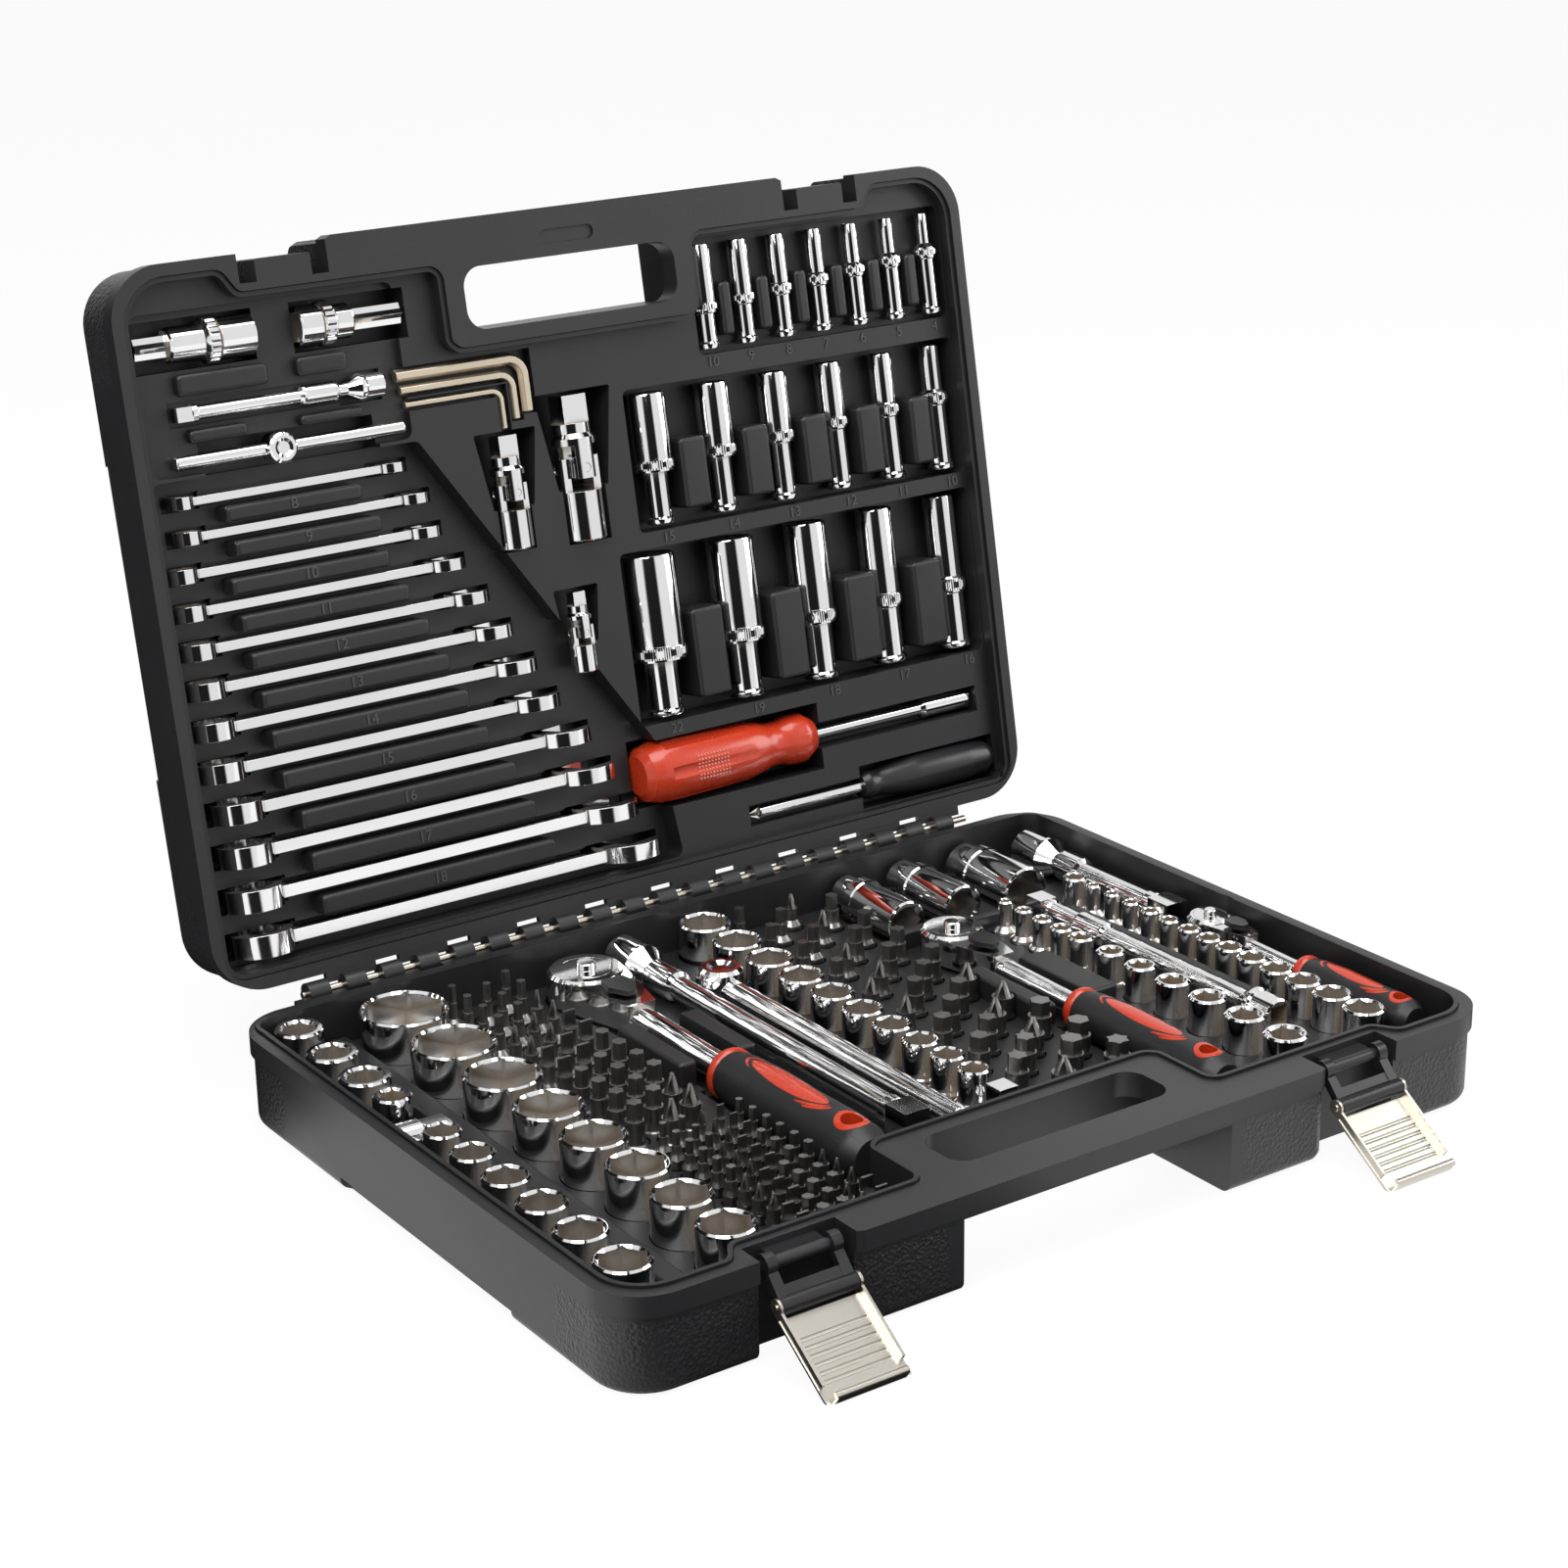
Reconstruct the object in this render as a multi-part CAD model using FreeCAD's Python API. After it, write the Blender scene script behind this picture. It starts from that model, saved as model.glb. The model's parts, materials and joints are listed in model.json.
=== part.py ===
import FreeCAD, Part
import math
import os

os.makedirs("parts", exist_ok=True)
V = FreeCAD.Vector
X_AXIS = V(1, 0, 0)
Y_AXIS = V(0, 1, 0)
Z_AXIS = V(0, 0, 1)
FRONT = V(0, -1, 0)

# case, all lengths in millimetres
case_width = 440.0
front_reach = 317.0      # hinge axis to the front face
handle_reach = 320.0     # hinge axis to the front of the handle
rear_reach = 7.0         # hinge axis to the rear wall
base_height = 42.0
lid_depth = 38.0
open_angle = 100.7       # lid opening from closed
case_corner = 24.0
shell_wall = 2.5
rim_band = 9.0
band_step = 1.5
foot_round = 5.0
side_lift_depth = 6.0    # raised lower edge between the corner feet
side_lift_start = 100.0
side_lift_end = 236.0
shell_gap = 0.3          # tray to shell

# handle and finger gap
base_finger_half = 68.0
lid_finger_half = 60.0
finger_back = 271.0
handle_hole_half = 55.0
handle_hole_front = 298.5
handle_thick = 11.0
handle_mark = (-14.0, 14.0, 304.0, 310.5)
handle_mark_depth = 1.2

# hinge
rod_radius = 1.75
rod_fit = 0.05
knuckle_radius = 5.0
knuckle_width = 10.0
knuckle_pitch = 36.0
lip_gap = 0.8            # rear lip to the other half's knuckle
lip_start = 2.6
lip_thick = 3.0
hinge_half = 180.0
rod_over = 2.0

# latches
latch_x = 139.5
latch_half = 21.0
latch_back = 304.5
tab_half = 12.0
tab_reach = 312.0
tab_drop = 5.0
tab_radius = 2.5
link_reach = 11.0
link_drop = 12.0
link_arm = 4.5
link_arm_gap = 0.5
link_eye = 4.4
knuckle_eye = 3.4
latch_pin_radius = 1.5
latch_fit = 0.05
lever_length = 41.0
lever_angle = 35.0
lever_half = 19.0
lever_sheet = 1.2
lever_flange = 4.5
lever_lip = 5.0
lever_grooves = 6
groove_pitch = 3.6
keeper_half = 13.0
keeper_reach = 314.0
keeper_height = 20.0

# inner trays
rim_width = 5.5
tray_rear = 13.0
tray_wall = 2.0
tray_bead = 1.2          # base tray border above the rim plane
lid_groove = 1.6         # lid tray border below the rim plane
base_plate = 22.0        # tray surface above the floor
lid_plate = -8.0         # lid tray surface from the rim plane
pocket_gap = 0.4
seat_gap = 0.1
rear_corner = 10.0
front_corner = 20.0
jog_round = 7.0

# sockets, outer size follows the hexagon
od_factor = 1.15
od_extra = 2.2
half_square = 12.7
three_eighth_square = 9.5
quarter_square = 6.35
half_foot = 22.0
three_eighth_foot = 17.0
quarter_foot = 12.0
half_socket_length = 36.0
three_eighth_socket_length = 28.0
quarter_socket_length = 25.0
half_socket_top = 40.4
three_eighth_socket_top = 39.0
quarter_socket_top = 38.0

column_a_x = -197.0
column_a_sizes = [12, 14, 15, 16, 17, 18]
column_a_start = 149.0
column_a_gap = 6.7
column_a_stars = [(21.0, 26.0), (22.0, 56.0), (22.0, 85.0), (16.5, 108.0)]
column_b_x = -151.0
column_b_sizes = [32, 30, 27, 24, 22, 21, 20, 19]
column_b_start = 34.5
column_b_gap = 5.2
column_c_x = 9.0
column_c_sizes = [19, 18, 17, 16, 15, 14, 13, 12, 11, 10]
column_c_start = 28.0
column_c_gap = 3.2
column_d_x = 136.5
small_star_count = 5
small_star_start = 89.0
small_star_pitch = 13.6
small_star_od = 7.0
small_star_step = 1.2
large_star_count = 6
large_star_start = 164.0
large_star_od = 13.0
large_star_gap = 6.5
column_e_x = 182.0
column_e_sizes = [8, 4, 4.5, 5, 5.5, 6, 7, 8, 9, 10, 11, 12, 13, 14]
column_e_start = 85.0
column_e_gap = 1.4

# bits
bit_socket_columns = [-122.0, -108.5, -95.0]
bit_socket_rows = 12
bit_socket_start = 25.0
bit_socket_pitch = 13.4
bit_socket_foot = 12.0
bit_socket_foot_height = 17.0
bit_socket_bottom = 5.0
bit_socket_length = 35.0
small_bit_columns = 5
small_bit_left = -121.0
small_bit_column_pitch = 9.2
small_bit_rows = 11
small_bit_start = 192.0
small_bit_pitch = 9.6
small_bit_flats = 6.3
small_bit_bottom = 12.0
small_bit_length = 26.0
large_bit_columns = 4
large_bit_left = 31.0
large_bit_column_pitch = 14.5
large_bit_rows = 9
large_bit_start = 24.0
large_bit_pitch = 25.5
large_bit_flats = 10.0
large_bit_bottom = 6.0
large_bit_length = 33.0

# lying tools in the base
tool_top = 40.3
half_ratchet_x = -61.0
half_ratchet_d = 37.5
three_eighth_ratchet_x = 98.0
three_eighth_ratchet_d = 98.0
quarter_ratchet_x = 201.5
quarter_ratchet_d = 158.0
long_bar_x = -31.0
long_bar_start = 19.0
long_bar_length = 222.0
t_bar_x = -14.5
t_bar_start = 63.0
t_bar_length = 186.0
t_rod_radius = 5.75
t_head_radius = 10.0
t_head_height = 19.0
t_head_d = 76.0
t_head_travel = 140.0
short_bar_x = 201.0
short_bar_start = 24.0
short_bar_length = 112.0
middle_bar_x = 158.0
middle_bar_start = 84.0
middle_bar_length = 166.0
plug_x = [96.0, 129.0, 167.0]
plug_radius = [10.5, 11.0, 13.0]
plug_start = 18.0
plug_length = 49.0
plug_hex = [14.0, 16.0, 20.5]

# lid tools
wrench_sizes = list(range(8, 20))
wrench_first_d = 217.0
wrench_pitch = 15.0
wrench_pitch_growth = 0.51
wrench_first_length = 113.5
wrench_length_step = 9.5
wrench_lefts = [-201.0] * 2 + [-207.0] * 6 + [-203.0] * 4
wrench_level = -17.2
wrench_floor = -20.0
wrench_field = [(-210.5, 227.0), (-210.5, 15.5), (24.0, 15.5), (18.0, 70.0), (-84.0, 227.0)]
wrench_pad_start = 0.2
wrench_pad_end = 0.77
wrench_pad_share = 0.46
ring_factor = 0.74
jaw_factor = 0.86
jaw_turn = 15.0
deep_rows = [
    {"d": 246.5, "length": 48.0, "x": 74.0, "pitch": 21.6, "pitch_step": 0.0, "od": 10.6,
     "step": 0.8, "count": 7, "foot": 10.0, "lead": 1.2, "square": quarter_square,
     "floor": -15.0, "ring": 0.37, "ring_step": 0.035},
    {"d": 170.5, "length": 60.5, "x": 38.0, "pitch": 36.5, "pitch_step": 1.7, "od": 18.0,
     "step": 1.6, "count": 6, "foot": 13.0, "lead": 6.0, "square": three_eighth_square,
     "floor": -22.5, "ring": 0.42, "ring_step": 0.025},
    {"d": 82.0, "length": 75.5, "x": 29.0, "pitch": 46.5, "pitch_step": 2.2, "od": 25.5,
     "step": 2.5, "count": 5, "foot": 17.5, "lead": 6.0, "square": half_square,
     "floor": -28.5, "ring": 0.36, "ring_step": 0.005},
]
joint_half_x = -3.5
joint_half_d = 236.0
joint_half_length = 66.0
joint_half_radius = 10.5
joint_three_x = -40.5
joint_three_d = 223.0
joint_three_length = 51.0
joint_three_radius = 8.0
joint_quarter_x = -15.0
joint_quarter_d = 148.0
joint_quarter_length = 37.0
joint_quarter_radius = 6.0
joint_swing = 15.0
joint_top = -2.5
quarter_t_d = 234.0
quarter_t_left = -198.5
quarter_t_length = 109.0
quarter_t_head_x = -150.0
quarter_t_radius = 3.0
quarter_t_head_radius = 6.6
quarter_t_head_height = 12.0
quarter_t_travel = 40.0
quarter_t_level = -9.0
small_field = (-209.0, -86.0, 228.5, 297.0)
small_pads = [(-190.0, -163.0, 241.5, 247.0), (-138.0, -108.0, 241.5, 246.0),
              (-192.0, -150.0, 261.5, 270.5), (-136.0, -112.0, 262.5, 270.5)]
quarter_bar_d = 254.0
quarter_bar_left = -195.0
quarter_bar_length = 98.0
quarter_bar_level = -9.0
star_bit_d = 283.0
star_bit_level = -13.0
hex_key_flats = [5.0, 4.0, 3.0]
hex_key_long = [64.0, 56.0, 48.0]
hex_key_short = [24.0, 20.0, 17.0]
hex_key_corner = (-26.0, 256.0)
hex_key_nest = 6.5
hex_key_level = -10.0
red_handle_left = 9.0
red_handle_length = 98.0
red_handle_radius = 15.0
red_d = 56.0
red_level = -16.5
red_shaft_end = 202.0
red_shaft_radius = 3.5
red_socket_start = 173.0
red_socket_radius = 5.2
black_d = 26.0
black_tip = 64.5
black_handle_start = 130.0
black_handle_length = 79.0
black_handle_radius = 9.5
black_level = -11.5
black_shaft_radius = 3.0

hinge_y = (front_reach + rear_reach) / 2
rim_z = base_height
lid_turn = 180.0 - open_angle
half_width = case_width / 2
nodes = {}


def back(d):
    return hinge_y - d


def box(x0, x1, y0, y1, z0, z1):
    return Part.makeBox(x1 - x0, y1 - y0, z1 - z0, V(x0, y0, z0))


def base_box(x0, x1, d0, d1, z0, z1):
    return box(x0, x1, back(d1), back(d0), z0, z1)


def rounded_face(points, radius, z):
    # closed outline, every corner rounded, a third value gives its own radius
    count = len(points)
    corners = []
    for i in range(count):
        here = V(points[i][0], points[i][1], z)
        before = V(points[i - 1][0], points[i - 1][1], z) - here
        after = V(points[(i + 1) % count][0], points[(i + 1) % count][1], z) - here
        r = points[i][2] if len(points[i]) > 2 else radius
        before.normalize()
        after.normalize()
        half = before.getAngle(after) / 2
        reach = r / math.tan(half)
        middle = before + after
        middle.normalize()
        top = here + middle * (r / math.sin(half) - r)
        corners.append((here + before * reach, top, here + after * reach))
    edges = []
    for i in range(count):
        start, top, end = corners[i]
        edges.append(Part.Arc(start, top, end).toShape())
        onward = corners[(i + 1) % count][0]
        if end.distanceToPoint(onward) > 0.001:
            edges.append(Part.makeLine(end, onward))
    return Part.Face(Part.Wire(edges))


def prism(points, radius, z0, z1):
    return rounded_face(points, radius, z0).extrude(V(0, 0, z1 - z0))


def slab(x0, x1, y0, y1, z0, z1, radius):
    return prism([(x0, y0), (x1, y0), (x1, y1), (x0, y1)], radius, z0, z1)


def spin(profile):
    points = [V(r, 0, s) for r, s in profile]
    points.append(points[0])
    return Part.Face(Part.makePolygon(points)).revolve(V(0, 0, 0), Z_AXIS, 360)


def place(shape, at, toward=Z_AXIS):
    moved = shape.copy()
    moved.Placement = FreeCAD.Placement(at, FreeCAD.Rotation(Z_AXIS, toward))
    return moved


def cylinder(radius, length, at, axis=Z_AXIS):
    return Part.makeCylinder(radius, length, at, axis)


def ngon(count, radius, z0, z1, turn=0.0):
    points = []
    for i in range(count + 1):
        a = math.radians(turn + 360.0 * i / count)
        points.append(V(radius * math.cos(a), radius * math.sin(a), z0))
    return Part.Face(Part.makePolygon(points)).extrude(V(0, 0, z1 - z0))


def hexagon(flats, z0, z1, turn=0.0):
    return ngon(6, flats / 2 / math.cos(math.pi / 6), z0, z1, turn)


def star(lobes, outer, inner, z0, z1):
    points = []
    for i in range(2 * lobes + 1):
        a = math.pi * i / lobes
        r = outer if i % 2 == 0 else inner
        points.append(V(r * math.cos(a), r * math.sin(a), z0))
    return Part.Face(Part.makePolygon(points)).extrude(V(0, 0, z1 - z0))


def square(side, z0, z1):
    return box(-side / 2, side / 2, -side / 2, side / 2, z0, z1)


def group(shapes):
    return Part.makeCompound(shapes)


def lid_place(shape):
    # lid pieces are drawn lying open flat, then swung up about the hinge
    moved = shape.copy()
    moved.translate(V(0, hinge_y, rim_z))
    moved.rotate(V(0, hinge_y, rim_z), X_AXIS, lid_turn)
    return moved


def outer_size(hexagon_size):
    return hexagon_size * od_factor + od_extra


# case halves, drawn with the rim plane at zero and the distance from the hinge along Y
def case_outline(inset):
    side = half_width - inset
    rear = rear_reach + inset
    front = front_reach - inset
    bar = handle_reach - inset
    inner = latch_x - latch_half
    corner = case_corner - inset
    shift = 3.0
    return [
        (-side, rear, corner), (side, rear, corner), (side, front, corner),
        (inner + shift, front, 1.0), (inner - shift, bar, 1.0),
        (-inner + shift, bar, 1.0), (-inner - shift, front, 1.0), (-side, front, corner),
    ]


def case_voids(grow, depth, finger_half):
    top = -handle_thick + grow
    voids = [box(-finger_half - grow, finger_half + grow, finger_back - grow,
                 handle_reach + 10, -depth - 1, top)]
    voids.append(slab(-handle_hole_half - grow, handle_hole_half + grow, finger_back - grow,
                      handle_hole_front + grow, -depth - 1, 1, 9.0 + grow))
    for side in (-1, 1):
        middle = side * latch_x
        voids.append(box(middle - latch_half - grow, middle + latch_half + grow,
                         latch_back - grow, handle_reach + 10, -depth - 1, 1))
    return voids


def tray_outline(finger_half):
    side = half_width - rim_width
    front = front_reach - rim_width
    latch_in = latch_back - shell_wall - 1.0
    handle_in = finger_back - shell_wall - 4.5
    right = [
        (side, tray_rear, rear_corner), (side, front, front_corner),
        (latch_x + latch_half + 8, front, jog_round),
        (latch_x + latch_half + 1, latch_in, jog_round - 2),
        (finger_half + 4.5, latch_in, jog_round), (finger_half + 4.5, handle_in + 4, 4.0),
        (finger_half + 0.5, handle_in, jog_round),
    ]
    left = [(-p[0], p[1], p[2]) for p in reversed(right)]
    return right + left


def half_shell(depth, knuckle_shift, finger_half):
    low = prism(case_outline(band_step), 1.0, -depth, -rim_band + 0.01)
    bottom_edges = [e for e in low.Edges if abs(e.BoundBox.ZMax + depth) < 0.001]
    low = low.makeFillet(foot_round, bottom_edges)
    body = low.fuse(prism(case_outline(0.0), 1.0, -rim_band, 0.0))
    body = body.cut(case_voids(0.0, depth, finger_half))
    lifts = []
    for side in (-1, 1):
        edge = side * half_width
        near = side * (half_width - side_lift_depth)
        lifts.append(slab(min(edge, near), max(edge, near) + 0.0, side_lift_start,
                          side_lift_end, -depth - 1, -depth + side_lift_depth, 2.0))
    body = body.cut(lifts)
    hollow = prism(case_outline(band_step + shell_wall), 1.0, -depth + shell_wall, -shell_wall)
    hollow = hollow.cut(case_voids(shell_wall, depth, finger_half))
    guard = side_lift_depth + shell_wall
    for side in (-1, 1):
        edge = side * half_width
        near = side * (half_width - guard)
        hollow = hollow.cut(box(min(edge, near), max(edge, near), side_lift_start - shell_wall,
                                side_lift_end + shell_wall, -depth, -depth + guard))
    body = body.cut(hollow)
    mouth = rounded_face(tray_outline(finger_half), jog_round, -shell_wall - 1)
    mouth = mouth.makeOffset2D(shell_gap)
    body = body.cut(mouth.extrude(V(0, 0, shell_wall + 2)))
    knuckles = []
    bores = []
    start = -hinge_half + knuckle_shift
    while start + knuckle_width <= hinge_half + 0.1:
        knuckles.append(cylinder(knuckle_radius, knuckle_width, V(start, 0, 0), X_AXIS))
        knuckles.append(box(start, start + knuckle_width, 0, rear_reach + 1,
                            -knuckle_radius, -0.2))
        bores.append(cylinder(rod_radius + rod_fit, knuckle_width + 2, V(start - 1, 0, 0), X_AXIS))
        lip_side = knuckle_pitch / 2 - knuckle_width - lip_gap
        knuckles.append(box(start - lip_side, start + knuckle_width + lip_side, lip_start,
                            rear_reach + 1, -lip_thick, -0.2))
        start += knuckle_pitch
    body = body.fuse(knuckles)
    return body.cut(bores)


def tray_room(depth, finger_half):
    # space that a tray may fill: the shell's hollow less the gap, and the mouth above it
    inset = shell_wall + shell_gap
    room = prism(case_outline(band_step + inset), 1.0, -depth, -inset)
    room = room.cut(case_voids(inset, depth, finger_half))
    return room.fuse(box(-half_width, half_width, rear_reach, handle_reach, -inset, rim_width))


def latch_tab(middle):
    # rolled lip with a round bar that carries the latch link
    bar = cylinder(tab_radius, 2 * (tab_half + link_arm + link_arm_gap),
                   V(middle - tab_half - link_arm - link_arm_gap, tab_reach, -tab_drop), X_AXIS)
    web = box(middle - tab_half, middle + tab_half, latch_back - 1, tab_reach,
              -tab_drop - tab_radius + 0.3, -tab_drop + tab_radius - 0.3)
    return [bar, web]


def latch_keeper(middle):
    return slab(middle - keeper_half, middle + keeper_half, latch_back - 1.0, keeper_reach,
                -keeper_height, 0.0, 0.9)


base_local = half_shell(base_height, 0.0, base_finger_half)
for side in (-1, 1):
    base_local = base_local.fuse(latch_tab(side * latch_x))
base_shell = base_local.mirror(V(0, 0, 0), Y_AXIS)
base_shell.translate(V(0, hinge_y, rim_z))
nodes["base_shell"] = base_shell

lid_local = half_shell(lid_depth, knuckle_pitch / 2, lid_finger_half)
for side in (-1, 1):
    lid_local = lid_local.fuse(latch_keeper(side * latch_x))
lid_local = lid_local.cut(slab(*handle_mark, -handle_mark_depth, 1.0, 3.0))
nodes["lid_shell"] = lid_place(lid_local)
nodes["hinge_rod"] = cylinder(rod_radius, 2 * (hinge_half + rod_over),
                              V(-hinge_half - rod_over, hinge_y, rim_z), X_AXIS)


# latches
def latch_link(middle):
    y0 = back(tab_reach)
    z0 = rim_z - tab_drop
    y1 = y0 - link_reach
    z1 = z0 - link_drop
    arm_in = tab_half + link_arm_gap
    arm_out = arm_in + link_arm
    eyes = []
    length = math.hypot(link_reach, link_drop)
    tilt = math.degrees(math.atan2(link_reach, link_drop))
    for side in (-1, 1):
        left = middle + (arm_in if side > 0 else -arm_out)
        eyes.append(cylinder(link_eye, link_arm, V(left, y0, z0), X_AXIS))
        arm = box(left, left + link_arm, -1.8, 1.8, -length, 0)
        arm.rotate(V(0, 0, 0), X_AXIS, -tilt)
        arm.translate(V(0, y0, z0))
        eyes.append(arm)
    plate = box(middle - arm_out, middle + arm_out, -1.4, 1.4, -length, -length + 7.0)
    plate.rotate(V(0, 0, 0), X_AXIS, -tilt)
    plate.translate(V(0, y0, z0))
    roll = cylinder(knuckle_eye, 2 * arm_out, V(middle - arm_out, y1, z1), X_AXIS)
    link = roll.fuse(eyes + [plate])
    holes = [
        cylinder(tab_radius + latch_fit, 4 * arm_out, V(middle - 2 * arm_out, y0, z0), X_AXIS),
        cylinder(latch_pin_radius + latch_fit, 4 * arm_out, V(middle - 2 * arm_out, y1, z1), X_AXIS),
    ]
    return link.cut(holes), y1, z1


def latch_lever(middle, y1, z1):
    # drawn along the sheet, pivot at zero, then turned to hang outward
    reach = lever_length
    start = knuckle_eye + 0.8
    ear = lever_sheet
    arm_out = tab_half + link_arm_gap + link_arm + 0.4
    sheet = box(middle - lever_half, middle + lever_half, start, reach,
                -knuckle_eye, -knuckle_eye + lever_sheet)
    lip = box(middle - lever_half + 3, middle + lever_half - 3, reach - lever_sheet, reach,
              -knuckle_eye, -knuckle_eye + lever_lip)
    curl = cylinder(1.5, 2 * lever_half - 6, V(middle - lever_half + 3, reach - 1.5,
                                               -knuckle_eye + lever_lip), X_AXIS)
    parts = [lip, curl]
    for side in (-1, 1):
        inner = middle + side * arm_out
        outer = middle + side * (arm_out + ear)
        x0 = min(inner, outer)
        rail = box(x0, x0 + ear, 0, reach - 7, -knuckle_eye, -knuckle_eye + lever_flange)
        eye = cylinder(knuckle_eye, ear, V(x0, 0, 0), X_AXIS)
        parts += [rail, eye]
    lever = sheet.fuse(parts)
    cuts = [cylinder(latch_pin_radius + latch_fit, 60, V(middle - 30, 0, 0), X_AXIS)]
    for i in range(lever_grooves):
        at = reach - 9.0 - groove_pitch * i
        cuts.append(cylinder(1.1, 2 * lever_half - 8, V(middle - lever_half + 4, at,
                                                        -knuckle_eye + lever_sheet + 0.6), X_AXIS))
    lever = lever.cut(cuts)
    lever.rotate(V(0, 0, 0), Z_AXIS, 180)
    lever.translate(V(2 * middle, 0, 0))
    lever.rotate(V(0, 0, 0), X_AXIS, lever_angle)
    lever.translate(V(0, y1, z1))
    return lever


for name, side in (("left", -1), ("right", 1)):
    link, pivot_y, pivot_z = latch_link(side * latch_x)
    nodes[name + "_latch_link"] = link
    nodes[name + "_latch_lever"] = latch_lever(side * latch_x, pivot_y, pivot_z)
    pin_half = tab_half + link_arm_gap + link_arm + 0.4 + lever_sheet + 0.5
    nodes[name + "_latch_pin"] = cylinder(latch_pin_radius, 2 * pin_half,
                                          V(side * latch_x - pin_half, pivot_y, pivot_z), X_AXIS)


# standing sockets
def socket(size, top_od, foot_od, length, drive, starred):
    rt = top_od / 2
    rf = foot_od / 2
    c = 0.8
    step = 0.42 * length
    rise = abs(rt - rf) * 0.8 + 0.2
    body = spin([(0, 0), (rf - c, 0), (rf, c), (rf, step), (rt, step + rise),
                 (rt, length - c), (rt - c, length), (0, length)])
    depth = 0.5 * length
    reach = size / 2 / math.cos(math.pi / 6)
    if starred:
        mouth = star(6, size / 2, 0.76 * size / 2, length - depth, length + 1)
        lead = size / 2
    else:
        mouth = hexagon(size, length - depth, length + 1)
        lead = reach
    cone = Part.makeCone(lead - 1.0, lead + 0.2, 1.2, V(0, 0, length - 1.1))
    return body.cut([mouth, cone, square(drive, -1, 0.38 * length)])


def column(sizes, gap, start, least):
    spots = []
    d = start
    last = None
    for size in sizes:
        wide = max(outer_size(size), least)
        if last is not None:
            d += (wide + last) / 2 + gap
        spots.append(d)
        last = wide
    return spots


base_cuts = []


def stand(shape, x, d, bottom, hole):
    base_cuts.append(cylinder(hole + pocket_gap, 40.0, V(x, back(d), bottom - seat_gap)))
    return place(shape, V(x, back(d), bottom))


half_sockets = []
half_bottom = half_socket_top - half_socket_length
for size, d in zip(column_a_sizes, column(column_a_sizes, column_a_gap, column_a_start, 0)):
    made = socket(size, outer_size(size), half_foot, half_socket_length, half_square, False)
    half_sockets.append(stand(made, column_a_x, d, half_bottom, max(half_foot, outer_size(size)) / 2))
for od, d in column_a_stars:
    made = socket(od - 5, od, half_foot, half_socket_length, half_square, True)
    half_sockets.append(stand(made, column_a_x, d, half_bottom, half_foot / 2))
for size, d in zip(column_b_sizes, column(column_b_sizes, column_b_gap, column_b_start, 0)):
    wide = outer_size(size)
    made = socket(size, wide, max(half_foot + 1, 0.88 * wide), half_socket_length, half_square, False)
    half_sockets.append(stand(made, column_b_x, d, half_bottom, wide / 2))
nodes["half_inch_sockets"] = group(half_sockets)

three_sockets = []
three_bottom = three_eighth_socket_top - three_eighth_socket_length
column_c = column(column_c_sizes, column_c_gap, column_c_start, 0)
for size, d in zip(column_c_sizes, column_c):
    wide = outer_size(size)
    made = socket(size, wide, max(three_eighth_foot, 0.9 * wide), three_eighth_socket_length,
                  three_eighth_square, False)
    three_sockets.append(stand(made, column_c_x, d, three_bottom, max(three_eighth_foot, wide) / 2))
nodes["three_eighth_sockets"] = group(three_sockets)

star_sockets = []
quarter_bottom = quarter_socket_top - quarter_socket_length
for i in range(small_star_count):
    od = small_star_od + small_star_step * i
    made = socket(od - 2.2, od, quarter_foot, quarter_socket_length, quarter_square, True)
    star_sockets.append(stand(made, column_d_x, small_star_start + small_star_pitch * i,
                              quarter_bottom, quarter_foot / 2))
spot = large_star_start
for i in range(large_star_count):
    od = large_star_od + small_star_step * i
    made = socket(od - 3.4, od, max(three_eighth_foot - 3, od), quarter_socket_length,
                  three_eighth_square, True)
    star_sockets.append(stand(made, column_d_x, spot, quarter_bottom,
                              max(three_eighth_foot - 3, od) / 2))
    spot += od + small_star_step / 2 + large_star_gap
nodes["star_sockets"] = group(star_sockets)

quarter_sockets = []
for size, d in zip(column_e_sizes, column(column_e_sizes, column_e_gap, column_e_start, quarter_foot)):
    wide = outer_size(size)
    made = socket(size, wide, max(quarter_foot, wide), quarter_socket_length, quarter_square, False)
    quarter_sockets.append(stand(made, column_e_x, d, quarter_bottom, max(quarter_foot, wide) / 2))
nodes["quarter_sockets"] = group(quarter_sockets)


# bits
def bit_tip(kind, wide, z0, z1):
    if kind == 0:
        return hexagon(wide * 0.86, z0, z1)
    if kind == 1:
        return star(6, wide / 2, wide * 0.37, z0, z1)
    if kind == 2:
        cone = Part.makeCone(wide / 2, wide * 0.12, z1 - z0, V(0, 0, z0))
        cross = box(-wide, wide, -wide * 0.14, wide * 0.14, z0, z1)
        cross = cross.fuse(box(-wide * 0.14, wide * 0.14, -wide, wide, z0, z1))
        return cone.common(cross)
    blade = box(-wide / 2, wide / 2, -wide * 0.13, wide * 0.13, z0, z1)
    return blade


def bit(kind, wide, shank, shank_height, length, tip):
    neck = Part.makeCone(shank_height[1], wide * 0.56, 2.5, V(0, 0, shank_height[0] - 0.01))
    stem = cylinder(wide * 0.56, length - tip - shank_height[0] - 2.4, V(0, 0, shank_height[0] + 2.4))
    head = bit_tip(kind, wide, length - tip - 0.1, length)
    return shank.fuse([neck, stem, head])


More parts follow.
